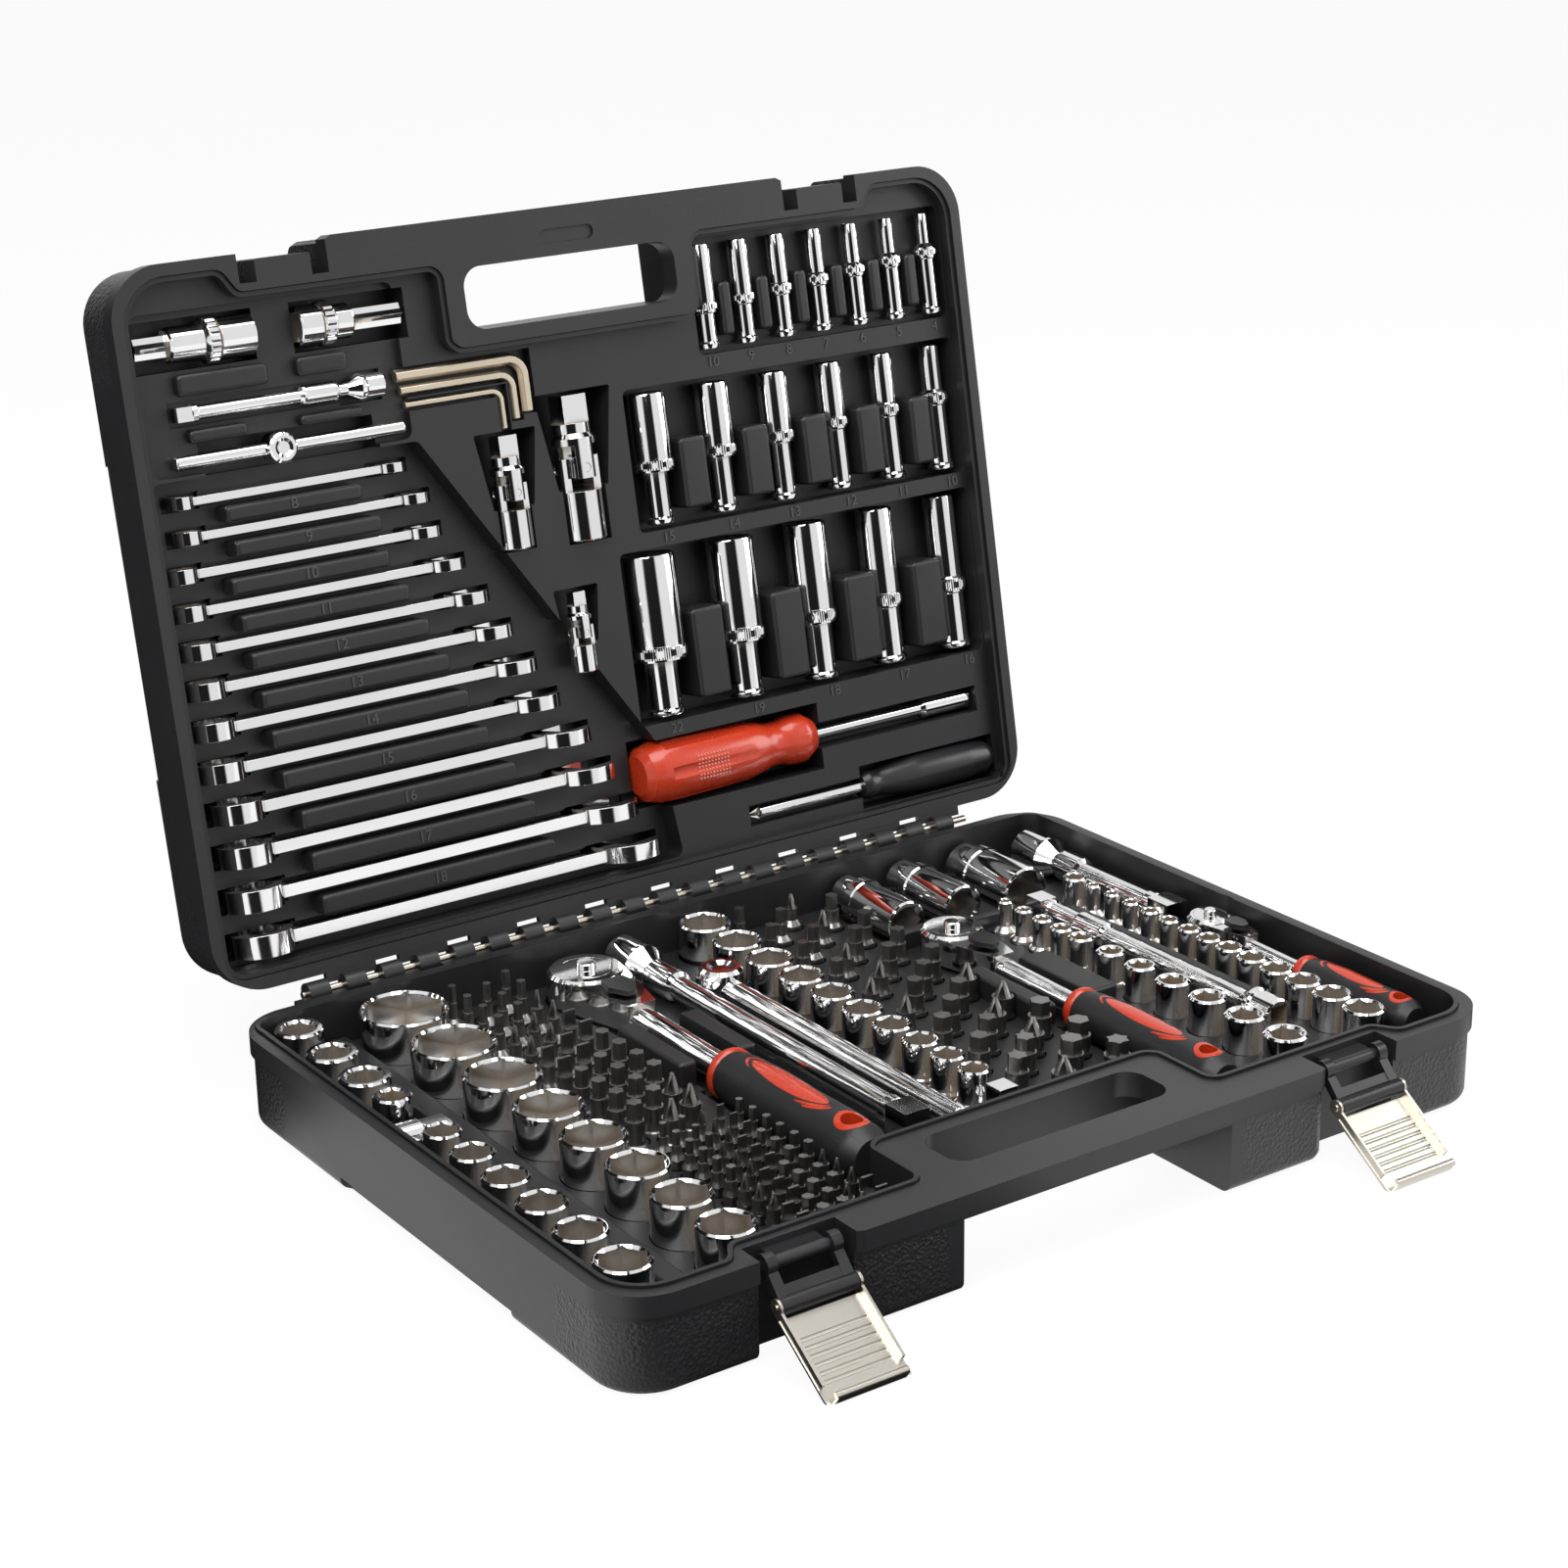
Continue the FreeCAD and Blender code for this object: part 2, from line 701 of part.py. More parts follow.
bit_sockets = []
for c, x in enumerate(bit_socket_columns):
    for i in range(bit_socket_rows):
        kind = (i + c) // 2 % 4
        wide = 3.6 + 0.34 * i + 0.3 * c
        r = bit_socket_foot / 2
        foot = spin([(0, 0), (r - 0.6, 0), (r, 0.6), (r, bit_socket_foot_height - 1),
                     (r - 1, bit_socket_foot_height), (0, bit_socket_foot_height)])
        foot = foot.cut(square(quarter_square, -1, 9.0))
        made = bit(kind, wide, foot, (bit_socket_foot_height, r - 1.4), bit_socket_length, 8.0)
        d = bit_socket_start + bit_socket_pitch * i + (bit_socket_pitch / 2 if c == 1 else 0)
        bit_sockets.append(stand(made, x, d, bit_socket_bottom, r))
nodes["bit_sockets"] = group(bit_sockets)

small_bits = []
small_reach = small_bit_flats / 2 / math.cos(math.pi / 6)
for c in range(small_bit_columns):
    for i in range(small_bit_rows):
        kind = (c + i // 3) % 4
        wide = 3.2 + 0.22 * i
        shank = hexagon(small_bit_flats, 0, 14.0)
        made = bit(kind, wide, shank, (14.0, small_bit_flats / 2), small_bit_length, 6.0)
        x = small_bit_left + small_bit_column_pitch * c
        small_bits.append(stand(made, x, small_bit_start + small_bit_pitch * i, small_bit_bottom,
                                small_reach))
nodes["screwdriver_bits"] = group(small_bits)

large_bits = []
large_reach = large_bit_flats / 2 / math.cos(math.pi / 6)
for c in range(large_bit_columns):
    for i in range(large_bit_rows):
        kind = (c + i // 2) % 3
        wide = 5.0 + 0.5 * i + 0.4 * c
        shank = hexagon(large_bit_flats, 0, 18.0)
        made = bit(kind, wide, shank, (18.0, large_bit_flats / 2), large_bit_length, 7.0)
        x = large_bit_left + large_bit_column_pitch * c
        d = large_bit_start + large_bit_pitch * i + (large_bit_pitch / 2 if c % 2 else 0)
        large_bits.append(stand(made, x, d, large_bit_bottom, large_reach))
nodes["large_bits"] = group(large_bits)


# ratchets, the handle points to the front
def ratchet(name, x, d, s):
    y = back(d)
    top = tool_top - s["knob"]
    low = top - s["head_thick"]
    axis_z = top - s["grip_sink"]
    r = s["head"]
    head = spin([(0, 0), (r - 1.5, 0), (r, 1.5), (r, s["head_thick"] - 1.5),
                 (r - 1.5, s["head_thick"]), (0, s["head_thick"])])
    head = place(head, V(x, y, low))
    neck = prism([(x - 0.92 * r, y - 0.38 * r), (x + 0.92 * r, y - 0.38 * r),
                  (x + s["shank"], y - s["neck"]), (x - s["shank"], y - s["neck"])],
                 0.8, low + 1.5, top - 1.0)
    shank = place(spin([(0, 0), (s["shank"], 0), (s["shank"] - 0.6, s["grip_start"] - s["neck"] + 2),
                        (s["tang"], s["grip_start"] - s["neck"] + 2),
                        (s["tang"], s["grip_start"] + s["tang_length"] - s["neck"]),
                        (0, s["grip_start"] + s["tang_length"] - s["neck"])]),
                  V(x, y - s["neck"] + 2, axis_z), FRONT)
    body = head.fuse([neck, shank])
    gear = s["gear"]
    pivot_y = y - s["lever_at"]
    body = body.cut([
        cylinder(gear + rod_fit, 60, V(x, y, low - 20)),
        cylinder(gear + 1.5 + rod_fit, 10, V(x, y, top - 2.05)),
        cylinder(2.05, 10, V(x, pivot_y, top - 4.1)),
    ])
    nodes[name + "_ratchet_body"] = body
    drive = spin([(0, 0), (gear, 0), (gear, s["head_thick"] - 2), (gear + 1.5, s["head_thick"] - 2),
                  (gear + 1.5, s["head_thick"]), (0, s["head_thick"])])
    drive = drive.fuse(square(s["square"], -s["square_length"], 0.1))
    knob = s["button"]
    drive = drive.cut(cylinder(knob + rod_fit, 20, V(0, 0, s["head_thick"] - 6)))
    nodes[name + "_ratchet_drive"] = place(drive, V(x, y, low))
    button = spin([(0, 0), (knob, 0), (knob, 2.4 + s["knob"] - 0.6), (knob - 0.6, 2.4 + s["knob"]),
                   (0, 2.4 + s["knob"])])
    nodes[name + "_ratchet_button"] = place(button, V(x, y, top - 2.6))
    q = s["lever"]
    paddle = prism([(-q, 1.2 * q), (q, 1.2 * q), (1.25 * q, -0.4 * q), (0.45 * q, -1.9 * q),
                    (-0.45 * q, -1.9 * q), (-1.25 * q, -0.4 * q)], 0.3 * q, 0.1, 2.6)
    paddle = paddle.fuse(cylinder(2.0, 4.1, V(0, 0, -3.9)))
    paddle = paddle.cut(cylinder(gear + 2.4, 9, V(0, s["lever_at"], 0.05)))
    paddle.translate(V(x, pivot_y, top))
    nodes[name + "_ratchet_lever"] = paddle
    g = s["grip"]
    begin = s["grip_start"] + 4.5
    length = s["grip_length"]
    full = spin([(0, 0), (0.84 * g, 0), (0.93 * g, 0.08 * length), (g, 0.3 * length),
                 (0.97 * g, 0.55 * length), (g, 0.8 * length), (0.94 * g, 0.93 * length),
                 (0.66 * g, length), (0, length)])
    full = place(full, V(x, y - begin, axis_z), FRONT)
    oval = Part.Face(Part.Wire(Part.Ellipse(V(0, 0, 0), s["inlay"], 0.42 * g).toShape()))
    oval.rotate(V(0, 0, 0), Z_AXIS, 90)
    oval_y = y - begin - 0.42 * length
    oval.translate(V(x, oval_y, axis_z + 0.74 * g))
    oval = oval.extrude(V(0, 0, g))
    ring_y = y - begin - length + 1.05 * g
    ring = cylinder(0.56 * g, 4 * g, V(x, ring_y, axis_z - 2 * g))
    ring = ring.cut(cylinder(0.36 * g, 4 * g, V(x, ring_y, axis_z - 2 * g)))
    grip = full.cut([
        oval, cylinder(0.56 * g + rod_fit, 4 * g, V(x, ring_y, axis_z - 2 * g)),
        cylinder(s["tang"] + rod_fit, s["tang_length"], V(x, y - begin + 1, axis_z), FRONT),
    ])
    nodes[name + "_ratchet_grip"] = grip
    inset = full.common(oval)
    inset = inset.cut(cylinder(s["tang"] + rod_fit, length, V(x, y - begin + 1, axis_z), FRONT))
    collar = spin([(s["tang"] + rod_fit, 0), (0.84 * g, 0), (0.9 * g, 1.5), (0.9 * g, 3.0),
                   (0.84 * g, 4.4), (s["tang"] + rod_fit, 4.4)])
    collar = place(collar, V(x, y - s["grip_start"], axis_z), FRONT)
    nodes[name + "_ratchet_trim"] = group([inset, collar, full.common(ring)])
    end = begin + length
    base_cuts.append(cylinder(r + 1.2, 40, V(x, y, low - seat_gap)))
    base_cuts.append(cylinder(s["square"] * 0.72 + 0.8, 40, V(x, y, low - s["square_length"] - 0.6)))
    base_cuts.append(prism([(x - r, y - 0.2 * r), (x + r, y - 0.2 * r),
                            (x + s["shank"] + 2, y - s["neck"] - 2),
                            (x - s["shank"] - 2, y - s["neck"] - 2)], 0.8, low + 1.0, rim_z + 5))
    base_cuts.append(base_box(x - s["shank"] - 4, x + s["shank"] + 4, d + 0.6 * r, d + s["grip_start"],
                              axis_z - s["shank"] - 2, rim_z + 5))
    base_cuts.append(base_box(x - g - 0.8, x + g + 0.8, d + s["grip_start"] - 1, d + end + 0.8,
                              axis_z - g - seat_gap, rim_z + 5))


half_ratchet = {
    "head": 17.5, "head_thick": 18.0, "knob": 3.4, "grip_sink": 9.5, "shank": 7.0, "neck": 46.0,
    "grip_start": 112.0, "tang": 5.0, "tang_length": 70.0, "gear": 10.5, "lever_at": 27.5,
    "square": 12.6, "square_length": 12.0, "button": 4.5, "lever": 5.6, "grip": 13.0,
    "grip_length": 97.0, "inlay": 26.0,
}
three_eighth_ratchet = {
    "head": 14.5, "head_thick": 15.0, "knob": 3.2, "grip_sink": 8.6, "shank": 5.6, "neck": 38.0,
    "grip_start": 90.0, "tang": 4.2, "tang_length": 60.0, "gear": 8.5, "lever_at": 23.0,
    "square": 9.4, "square_length": 10.0, "button": 3.8, "lever": 4.8, "grip": 11.0,
    "grip_length": 90.0, "inlay": 24.0,
}
quarter_ratchet = {
    "head": 10.6, "head_thick": 12.0, "knob": 3.0, "grip_sink": 7.4, "shank": 4.4, "neck": 28.0,
    "grip_start": 62.0, "tang": 3.2, "tang_length": 42.0, "gear": 6.2, "lever_at": 17.2,
    "square": 6.3, "square_length": 7.5, "button": 2.9, "lever": 3.6, "grip": 9.0,
    "grip_length": 64.0, "inlay": 17.0,
}
ratchet("half", half_ratchet_x, half_ratchet_d, half_ratchet)
ratchet("three_eighth", three_eighth_ratchet_x, three_eighth_ratchet_d, three_eighth_ratchet)
ratchet("quarter", quarter_ratchet_x, quarter_ratchet_d, quarter_ratchet)


# extension bars
def extension(length, shaft, cup, cup_length, knurl, knurl_start, knurl_length, side):
    neck_end = 1.35 * cup_length
    body = spin([(0, 0), (cup - 0.8, 0), (cup, 0.8), (cup, cup_length - 4), (cup + 0.8, cup_length - 3),
                 (cup + 0.8, cup_length - 1), (shaft, neck_end), (shaft, knurl_start - 1.5),
                 (knurl, knurl_start), (knurl, knurl_start + knurl_length),
                 (shaft, knurl_start + knurl_length + 1.5), (shaft, length - 1.6 * side),
                 (shaft + 0.8, length - 1.5 * side), (shaft + 0.8, length - 1.15 * side),
                 (shaft - 1.0, length - side), (0, length - side)])
    body = body.fuse(square(side - 0.2, length - side - 1, length))
    return body.cut(square(side, -1, side * 1.2))


bars = []
long_bar = extension(long_bar_length, 5.5, 9.6, 20.0, 7.0, 29.0, 18.0, half_square)
long_z = tool_top - 10.6
bars.append(place(long_bar, V(long_bar_x, back(long_bar_start), long_z), FRONT))
base_cuts.append(base_box(long_bar_x - 11.4, long_bar_x + 11.4, long_bar_start - 1, long_bar_start + 31,
                          long_z - 10.4 - seat_gap, rim_z + 5))
base_cuts.append(base_box(long_bar_x - 8.2, long_bar_x + 8.2, long_bar_start + 20,
                          long_bar_start + long_bar_length + 1.5, long_z - 7.6, rim_z + 5))
short_bar = extension(short_bar_length, 5.5, 9.2, 20.0, 7.0, 30.0, 14.0, half_square)
short_z = tool_top - 10.6
bars.append(place(short_bar, V(short_bar_x, back(short_bar_start), short_z), FRONT))
base_cuts.append(base_box(short_bar_x - 10.3, short_bar_x + 10.3, short_bar_start - 1,
                          short_bar_start + 31, short_z - 10.0 - seat_gap, rim_z + 5))
base_cuts.append(base_box(short_bar_x - 8.2, short_bar_x + 8.2, short_bar_start + 20,
                          short_bar_start + short_bar_length + 1.5, short_z - 7.6, rim_z + 5))
middle_bar = extension(middle_bar_length, 4.3, 7.6, 16.0, 5.6, 114.0, 18.0, three_eighth_square)
middle_z = tool_top - 10.0
bars.append(place(middle_bar, V(middle_bar_x, back(middle_bar_start + middle_bar_length), middle_z),
                  Y_AXIS))
middle_end = middle_bar_start + middle_bar_length
base_cuts.append(base_box(middle_bar_x - 9.0, middle_bar_x + 9.0, middle_end - 27, middle_end + 1,
                          middle_z - 8.4 - seat_gap, rim_z + 5))
base_cuts.append(base_box(middle_bar_x - 6.8, middle_bar_x + 6.8, middle_bar_start - 1.5,
                          middle_end - 10, middle_z - 6.4, rim_z + 5))
nodes["extension_bars"] = group(bars)

# sliding T bar, the head runs along the rod
t_rod_z = tool_top - 1.2 - t_head_height / 2
rod = spin([(0, 0), (t_rod_radius - 1, 0), (t_rod_radius, 1), (t_rod_radius, t_bar_length - 1),
            (t_rod_radius - 1, t_bar_length), (0, t_bar_length)])
nodes["t_bar_rod"] = place(rod, V(t_bar_x, back(t_bar_start), t_rod_z), FRONT)
head = spin([(0, 0), (t_head_radius - 1, 0), (t_head_radius, 1), (t_head_radius, t_head_height - 1.5),
             (t_head_radius - 1.5, t_head_height), (t_head_radius - 3.5, t_head_height),
             (t_head_radius - 6, t_head_height - 1.2), (0, t_head_height - 1.2)])
head = head.fuse(square(half_square - 0.2, -9.0, 0.1))
head = place(head, V(t_bar_x, back(t_head_d), t_rod_z - t_head_height / 2))
bore = cylinder(t_rod_radius + rod_fit, 60, V(t_bar_x, back(t_head_d) + 30, t_rod_z), FRONT)
nodes["t_bar_head"] = head.cut(bore)
t_end = t_bar_start + t_bar_length
base_cuts.append(base_box(t_bar_x - t_head_radius - 0.6, t_bar_x + t_head_radius + 0.6,
                          t_head_d - t_head_radius - 1, t_head_d + t_head_travel + t_head_radius + 1,
                          t_rod_z - t_head_height / 2 - 9.6, rim_z + 5))
base_cuts.append(base_box(t_bar_x - t_rod_radius - 0.8, t_bar_x + t_rod_radius + 0.8, t_bar_start - 0.8,
                          t_end + 0.8, t_rod_z - t_rod_radius - seat_gap, rim_z + 5))

# spark plug sockets lie with the mouth to the front
plugs = []
for x, r, flats in zip(plug_x, plug_radius, plug_hex):
    made = spin([(0, 0), (r - 2.6, 0), (r - 1.8, 0.8), (r - 1.8, 9), (r, 11), (r + 0.5, 12), (r + 0.5, 17),
                 (r, 18), (r, plug_length - 0.8), (r - 0.8, plug_length), (0, plug_length)])
    made = made.cut([hexagon(flats, 18, plug_length + 1), square(three_eighth_square, -1, 12.0),
                     Part.makeCone(flats / 2, flats / 2 + 1.6, 1.6, V(0, 0, plug_length - 1.5))])
    z = tool_top - r - 0.6
    plugs.append(place(made, V(x, back(plug_start), z), FRONT))
    base_cuts.append(base_box(x - r - 1.6, x + r + 1.6, plug_start - 1, plug_start + plug_length + 8,
                              z - r - 0.5 - seat_gap, rim_z + 5))
nodes["spark_plug_sockets"] = group(plugs)

# drive adapters, one lying between the sockets and one standing
adapter = spin([(0, 0), (6.6, 0), (7.2, 0.6), (7.2, 13.0), (4.5, 16.0), (0, 16.0)])
adapter = adapter.fuse(square(three_eighth_square - 0.2, 15.0, 26.0))
adapter = adapter.cut(square(half_square - 3.0, -1, 9.0))
adapter_z = base_plate + 7.2 + seat_gap
adapters = [place(adapter, V(column_a_x - 12.5, back(128.3), adapter_z), X_AXIS)]
base_cuts.append(base_box(column_a_x - 13.3, column_a_x + 15.5, 119.9, 136.7,
                          adapter_z - 7.2 - seat_gap, rim_z + 5))
upright = spin([(0, 0), (7.4, 0), (8.0, 0.6), (8.0, 14.0), (5.0, 17.0), (0, 17.0)])
upright = upright.fuse(square(three_eighth_square - 0.2, 16.0, 25.0))
adapters.append(stand(upright, column_c_x, column_c[-1] + 18.5, 13.0, 8.0))
nodes["drive_adapters"] = group(adapters)

# base tray
tray_plan = [(p[0], back(p[1]), p[2]) for p in tray_outline(base_finger_half)]
tray_low = shell_wall + shell_gap
tray_face = rounded_face(tray_plan, jog_round, tray_low)
tray = tray_face.extrude(V(0, 0, rim_z + tray_bead - tray_low))
inner_face = rounded_face(tray_plan, jog_round, base_plate).makeOffset2D(-tray_wall)
tray = tray.cut(inner_face.extrude(V(0, 0, 40.0)))


def soft_pad(x0, x1, y0, y1, z0, z1, radius, soft):
    pad = slab(x0, x1, y0, y1, z0, z1, radius)
    edges = [e for e in pad.Edges if e.BoundBox.ZMin > z1 - 0.001]
    return pad.makeFillet(soft, edges)


base_pads = [
    (-80.0, -70.0, 92.0, 142.0, 33.0), (-52.5, -41.0, 96.0, 142.0, 33.0),
    (79.5, 89.0, 132.0, 184.0, 32.0), (107.0, 124.0, 134.0, 184.0, 32.0),
    (165.0, 171.0, 98.0, 226.0, 31.0), (84.0, 108.0, 68.5, 79.0, 31.0),
    (112.0, 152.0, 76.5, 81.0, 29.0), (-183.0, -172.0, 20.0, 296.0, 28.0),
    (-203.0, -187.5, 297.0, 302.0, 30.0), (-47.0, 60.0, 254.5, 260.5, 31.0),
    (84.0, 112.0, 289.5, 297.0, 33.0), (186.0, 206.0, 290.5, 302.0, 31.0),
]
pads = []
for x0, x1, d0, d1, z in base_pads:
    pads.append(soft_pad(x0, x1, back(d1), back(d0), base_plate - 0.5, z, 2.0, 1.8))
tray = tray.fuse(pads)
reliefs = [base_box(column_c_x - 10, column_c_x + 10, 30.0, 250.0, tray_low - 1, 9.0)]
reliefs.append(base_box(column_d_x - 9, column_d_x + 9, 84.0, 285.0, tray_low - 1, 11.0))
reliefs.append(base_box(column_e_x - 9, column_e_x + 9, 80.0, 285.0, tray_low - 1, 11.0))
reliefs.append(base_box(80.0, 184.0, 20.0, 72.0, tray_low - 1, 10.0))
guard = side_lift_depth + shell_wall + shell_gap
for x0, x1 in ((-half_width, guard - half_width), (half_width - guard, half_width)):
    reliefs.append(base_box(x0, x1, side_lift_start - guard, side_lift_end + guard, tray_low - 1, guard))
base_room = tray_room(base_height, base_finger_half).mirror(V(0, 0, 0), Y_AXIS)
base_room.translate(V(0, hinge_y, rim_z))
nodes["base_tray"] = tray.cut(base_cuts + reliefs).common(base_room)

# lid tools, drawn with X along the hinge, Y from the hinge outward and Z out of the tray
lid_cuts = []
lid_pads = []


def lid_pocket(x0, x1, d0, d1, floor):
    lid_cuts.append(box(x0, x1, d0, d1, floor, 5.0))


def wrench(size, length):
    ring_r = ring_factor * size
    jaw_r = jaw_factor * size
    ring_t = 0.42 * size + 2.0
    jaw_t = 0.3 * size + 1.8
    shank_t = 0.18 * size + 2.0
    ring = cylinder(ring_r, ring_t, V(ring_r, -ring_t / 2, 0), Y_AXIS)
    jaw_x = length - jaw_r
    jaw = cylinder(jaw_r, jaw_t, V(jaw_x, -jaw_t / 2, 0), Y_AXIS)
    x0 = 2 * ring_r - 0.3 * size
    x1 = jaw_x - 0.7 * jaw_r
    corners = [(x0, 0.3 * size), (x1, 0.36 * size), (x1, -0.36 * size), (x0, -0.3 * size)]
    points = [V(a, -shank_t / 2, b) for a, b in corners]
    points.append(points[0])
    shank = Part.Face(Part.makePolygon(points)).extrude(V(0, shank_t, 0))
    made = ring.fuse([shank, jaw])
    hole = place(ngon(12, size * 0.52, -20, 20), V(ring_r, 0, 0), Y_AXIS)
    slot = box(-0.36 * size, 3 * size, -20, 20, -size / 2, size / 2)
    slot.rotate(V(0, 0, 0), Y_AXIS, jaw_turn)
    slot.translate(V(jaw_x, 0, 0))
    return made.cut([hole, slot]), ring_t, jaw_t, shank_t


wrenches = []
d = wrench_first_d
for i, size in enumerate(wrench_sizes):
    length = wrench_first_length + wrench_length_step * i
    left = wrench_lefts[i]
    right = left + length
    pitch = wrench_pitch + wrench_pitch_growth * i
    made, ring_t, jaw_t, shank_t = wrench(size, length)
    made.translate(V(left, d, wrench_level))
    wrenches.append(made)
    ring_r = ring_factor * size
    jaw_r = jaw_factor * size
    lid_pocket(left - 2, left + 2 * ring_r + 4, d - ring_t / 2 - 1, d + ring_t / 2 + 1,
               wrench_level - ring_r - seat_gap)
    lid_pocket(right - 2 * jaw_r - 4, right + 2.5, d - jaw_t / 2 - 1.2, d + jaw_t / 2 + 1.2,
               wrench_level - jaw_r - seat_gap)
    lid_pocket(left + ring_r, right - jaw_r, d - shank_t / 2 - 1.4, d + shank_t / 2 + 1.4,
               wrench_level - 0.36 * size - 0.6)
    if i < len(wrench_sizes) - 1:
        middle = d - pitch / 2
        lid_pads.append((left + wrench_pad_start * length, left + wrench_pad_end * length,
                         middle - wrench_pad_share * pitch / 2, middle + wrench_pad_share * pitch / 2,
                         wrench_floor - 0.5, lid_plate - 0.5))
    d -= pitch
lid_cuts.append(prism(wrench_field, 4.0, wrench_floor, 5.0))
nodes["combination_wrenches"] = group([lid_place(w) for w in wrenches])


def deep_socket(od, foot, length, drive, ring_share):
    rt = od / 2
    rf = foot / 2
    ring_r = max(rt, rf) + 0.5
    ring_at = ring_share * length
    ring_h = 0.07 * length
    body = spin([(0, 0), (rf - 0.6, 0), (rf, 0.6), (rf, 2.4), (rf - 0.9, 3.6), (rf - 0.9, ring_at - 1.6),
                 (ring_r - 0.6, ring_at - 1.0), (ring_r - 0.6, ring_at + ring_h + 0.6),
                 (rt, ring_at + ring_h + 0.6 + abs(ring_r - 0.6 - rt)), (rt, length - 0.7),
                 (rt - 0.7, length), (0, length)])
    body = body.fuse(star(22, ring_r, ring_r - 0.45, ring_at, ring_at + ring_h))
    flats = od - (3.4 if od > 9 else 1.9)
    mouth = hexagon(flats, 0.5 * length, length + 1)
    drive = min(drive, 1.3 * (rf - 0.9))
    return body.cut([mouth, square(drive, -1, 0.25 * length)]), ring_r


deep_sockets = []
for row in deep_rows:
    x = row["x"]
    spots = []
    for i in range(row["count"]):
        spots.append((x, row["od"] - row["step"] * i))
        x += row["pitch"] - row["pitch_step"] * i
    low = row["d"]
    high = low + row["length"]
    for i, (x, od) in enumerate(spots):
        ring_share = row["ring"] + row["ring_step"] * i
        made, ring_r = deep_socket(od, row["foot"], row["length"], row["square"], ring_share)
        deep_sockets.append(lid_place(place(made, V(x, low, row["floor"] + ring_r + seat_gap), Y_AXIS)))
    first = spots[0][0] - spots[0][1] / 2 - row["lead"]
    lid_cuts.append(slab(first, half_width - rim_width - tray_wall - 0.5, low - 2.5, high + 3,
                         row["floor"], 5.0, 3.0))
    for i in range(row["count"] - 1):
        x0 = spots[i][0] + max(spots[i][1], row["foot"]) / 2 + 2.6
        x1 = spots[i + 1][0] - max(spots[i + 1][1], row["foot"]) / 2 - 2.6
        if x1 - x0 > 5:
            lid_pads.append((x0, x1, low + 5, low + 0.62 * row["length"],
                             row["floor"] - 0.5, lid_plate + 1.5))
nodes["deep_sockets"] = group(deep_sockets)


# universal joints, drive end away from the hinge
def universal_joint(name, x, d, length, r, side):
    level = joint_top - r
    centre = 0.5 * length
    floor = 1.0 * r
    tip = 0.45 * r
    pin = 0.2 * r
    half = 0.44 * r

    def prongs(z0, z1, along_x):
        fork = cylinder(r, z1 - z0, V(0, 0, z0))
        if along_x:
            fork = fork.common(box(-r, r, -half, half, z0, z1))
            return fork.cut(box(-0.55 * r, 0.55 * r, -r, r, z0, z1))
        fork = fork.common(box(-half, half, -r, r, z0, z1))
        return fork.cut(box(-r, r, -0.55 * r, 0.55 * r, z0, z1))

    body = spin([(0, 0), (r - 0.6, 0), (r, 0.6), (r, centre - floor), (0, centre - floor)])
    female = body.fuse(prongs(centre - floor - 0.1, centre + tip, True).Solids)
    female = female.cut([square(side, -1, 0.7 * (centre - floor)),
                         cylinder(pin + rod_fit, 4 * r, V(-2 * r, 0, centre), X_AXIS)])
    tail = spin([(0, centre + floor), (r, centre + floor), (r, centre + floor + 0.3 * r),
                 (0.72 * side, centre + floor + 0.5 * r), (0.72 * side, length - side), (0, length - side)])
    male = tail.fuse(square(side - 0.2, length - side - 1, length))
    male = male.fuse(prongs(centre - tip, centre + floor + 0.1, False).Solids)
    male = male.cut(cylinder(pin + rod_fit, 4 * r, V(0, -2 * r, centre), Y_AXIS))
    block = box(-0.5 * r, 0.5 * r, -0.5 * r, 0.5 * r, centre - 0.4 * r, centre + 0.4 * r)
    block = block.fuse([cylinder(pin, 1.9 * r, V(-0.95 * r, 0, centre), X_AXIS),
                        cylinder(pin, 1.9 * r, V(0, -0.95 * r, centre), Y_AXIS)])
    for part, shape in (("socket", female), ("cross", block), ("drive", male)):
        nodes[name + "_joint_" + part] = lid_place(place(shape, V(x, d - length, level), Y_AXIS))
    swing = math.sin(math.radians(joint_swing))
    low = d - length
    lid_pocket(x - r - 0.8, x + r + 0.8, low - 1, low + centre, level - r - seat_gap)
    end = length - centre
    wide = 0.72 * side + end * swing + 2.5
    flare = [(x - wide, d + 2), (x - r - 2.5, low + centre - 0.9 * r),
             (x + r + 2.5, low + centre - 0.9 * r), (x + wide, d + 2)]
    lid_cuts.append(prism(flare, 1.0, max(level - r - end * swing - 0.8, -33.8), 5.0))


universal_joint("half", joint_half_x, joint_half_d, joint_half_length, joint_half_radius, half_square)
universal_joint("three_eighth", joint_three_x, joint_three_d, joint_three_length, joint_three_radius,
                three_eighth_square)
universal_joint("quarter", joint_quarter_x, joint_quarter_d, joint_quarter_length,
                joint_quarter_radius, quarter_square)

# small sliding T bar
rod = spin([(0, 0), (quarter_t_radius - 0.6, 0), (quarter_t_radius, 0.6),
            (quarter_t_radius, quarter_t_length - 0.6), (quarter_t_radius - 0.6, quarter_t_length),
            (0, quarter_t_length)])
nodes["quarter_t_rod"] = lid_place(place(rod, V(quarter_t_left, quarter_t_d, quarter_t_level), X_AXIS))
r = quarter_t_head_radius
tall = quarter_t_head_height
head = spin([(0, 0), (r - 0.8, 0), (r, 0.8), (r, tall - 1.0), (r - 1.0, tall), (r - 2.4, tall),
             (r - 3.8, tall - 0.8), (0, tall - 0.8)])
head = head.fuse(square(quarter_square - 0.2, -7.0, 0.1))
head.translate(V(quarter_t_head_x, quarter_t_d, quarter_t_level - tall / 2))
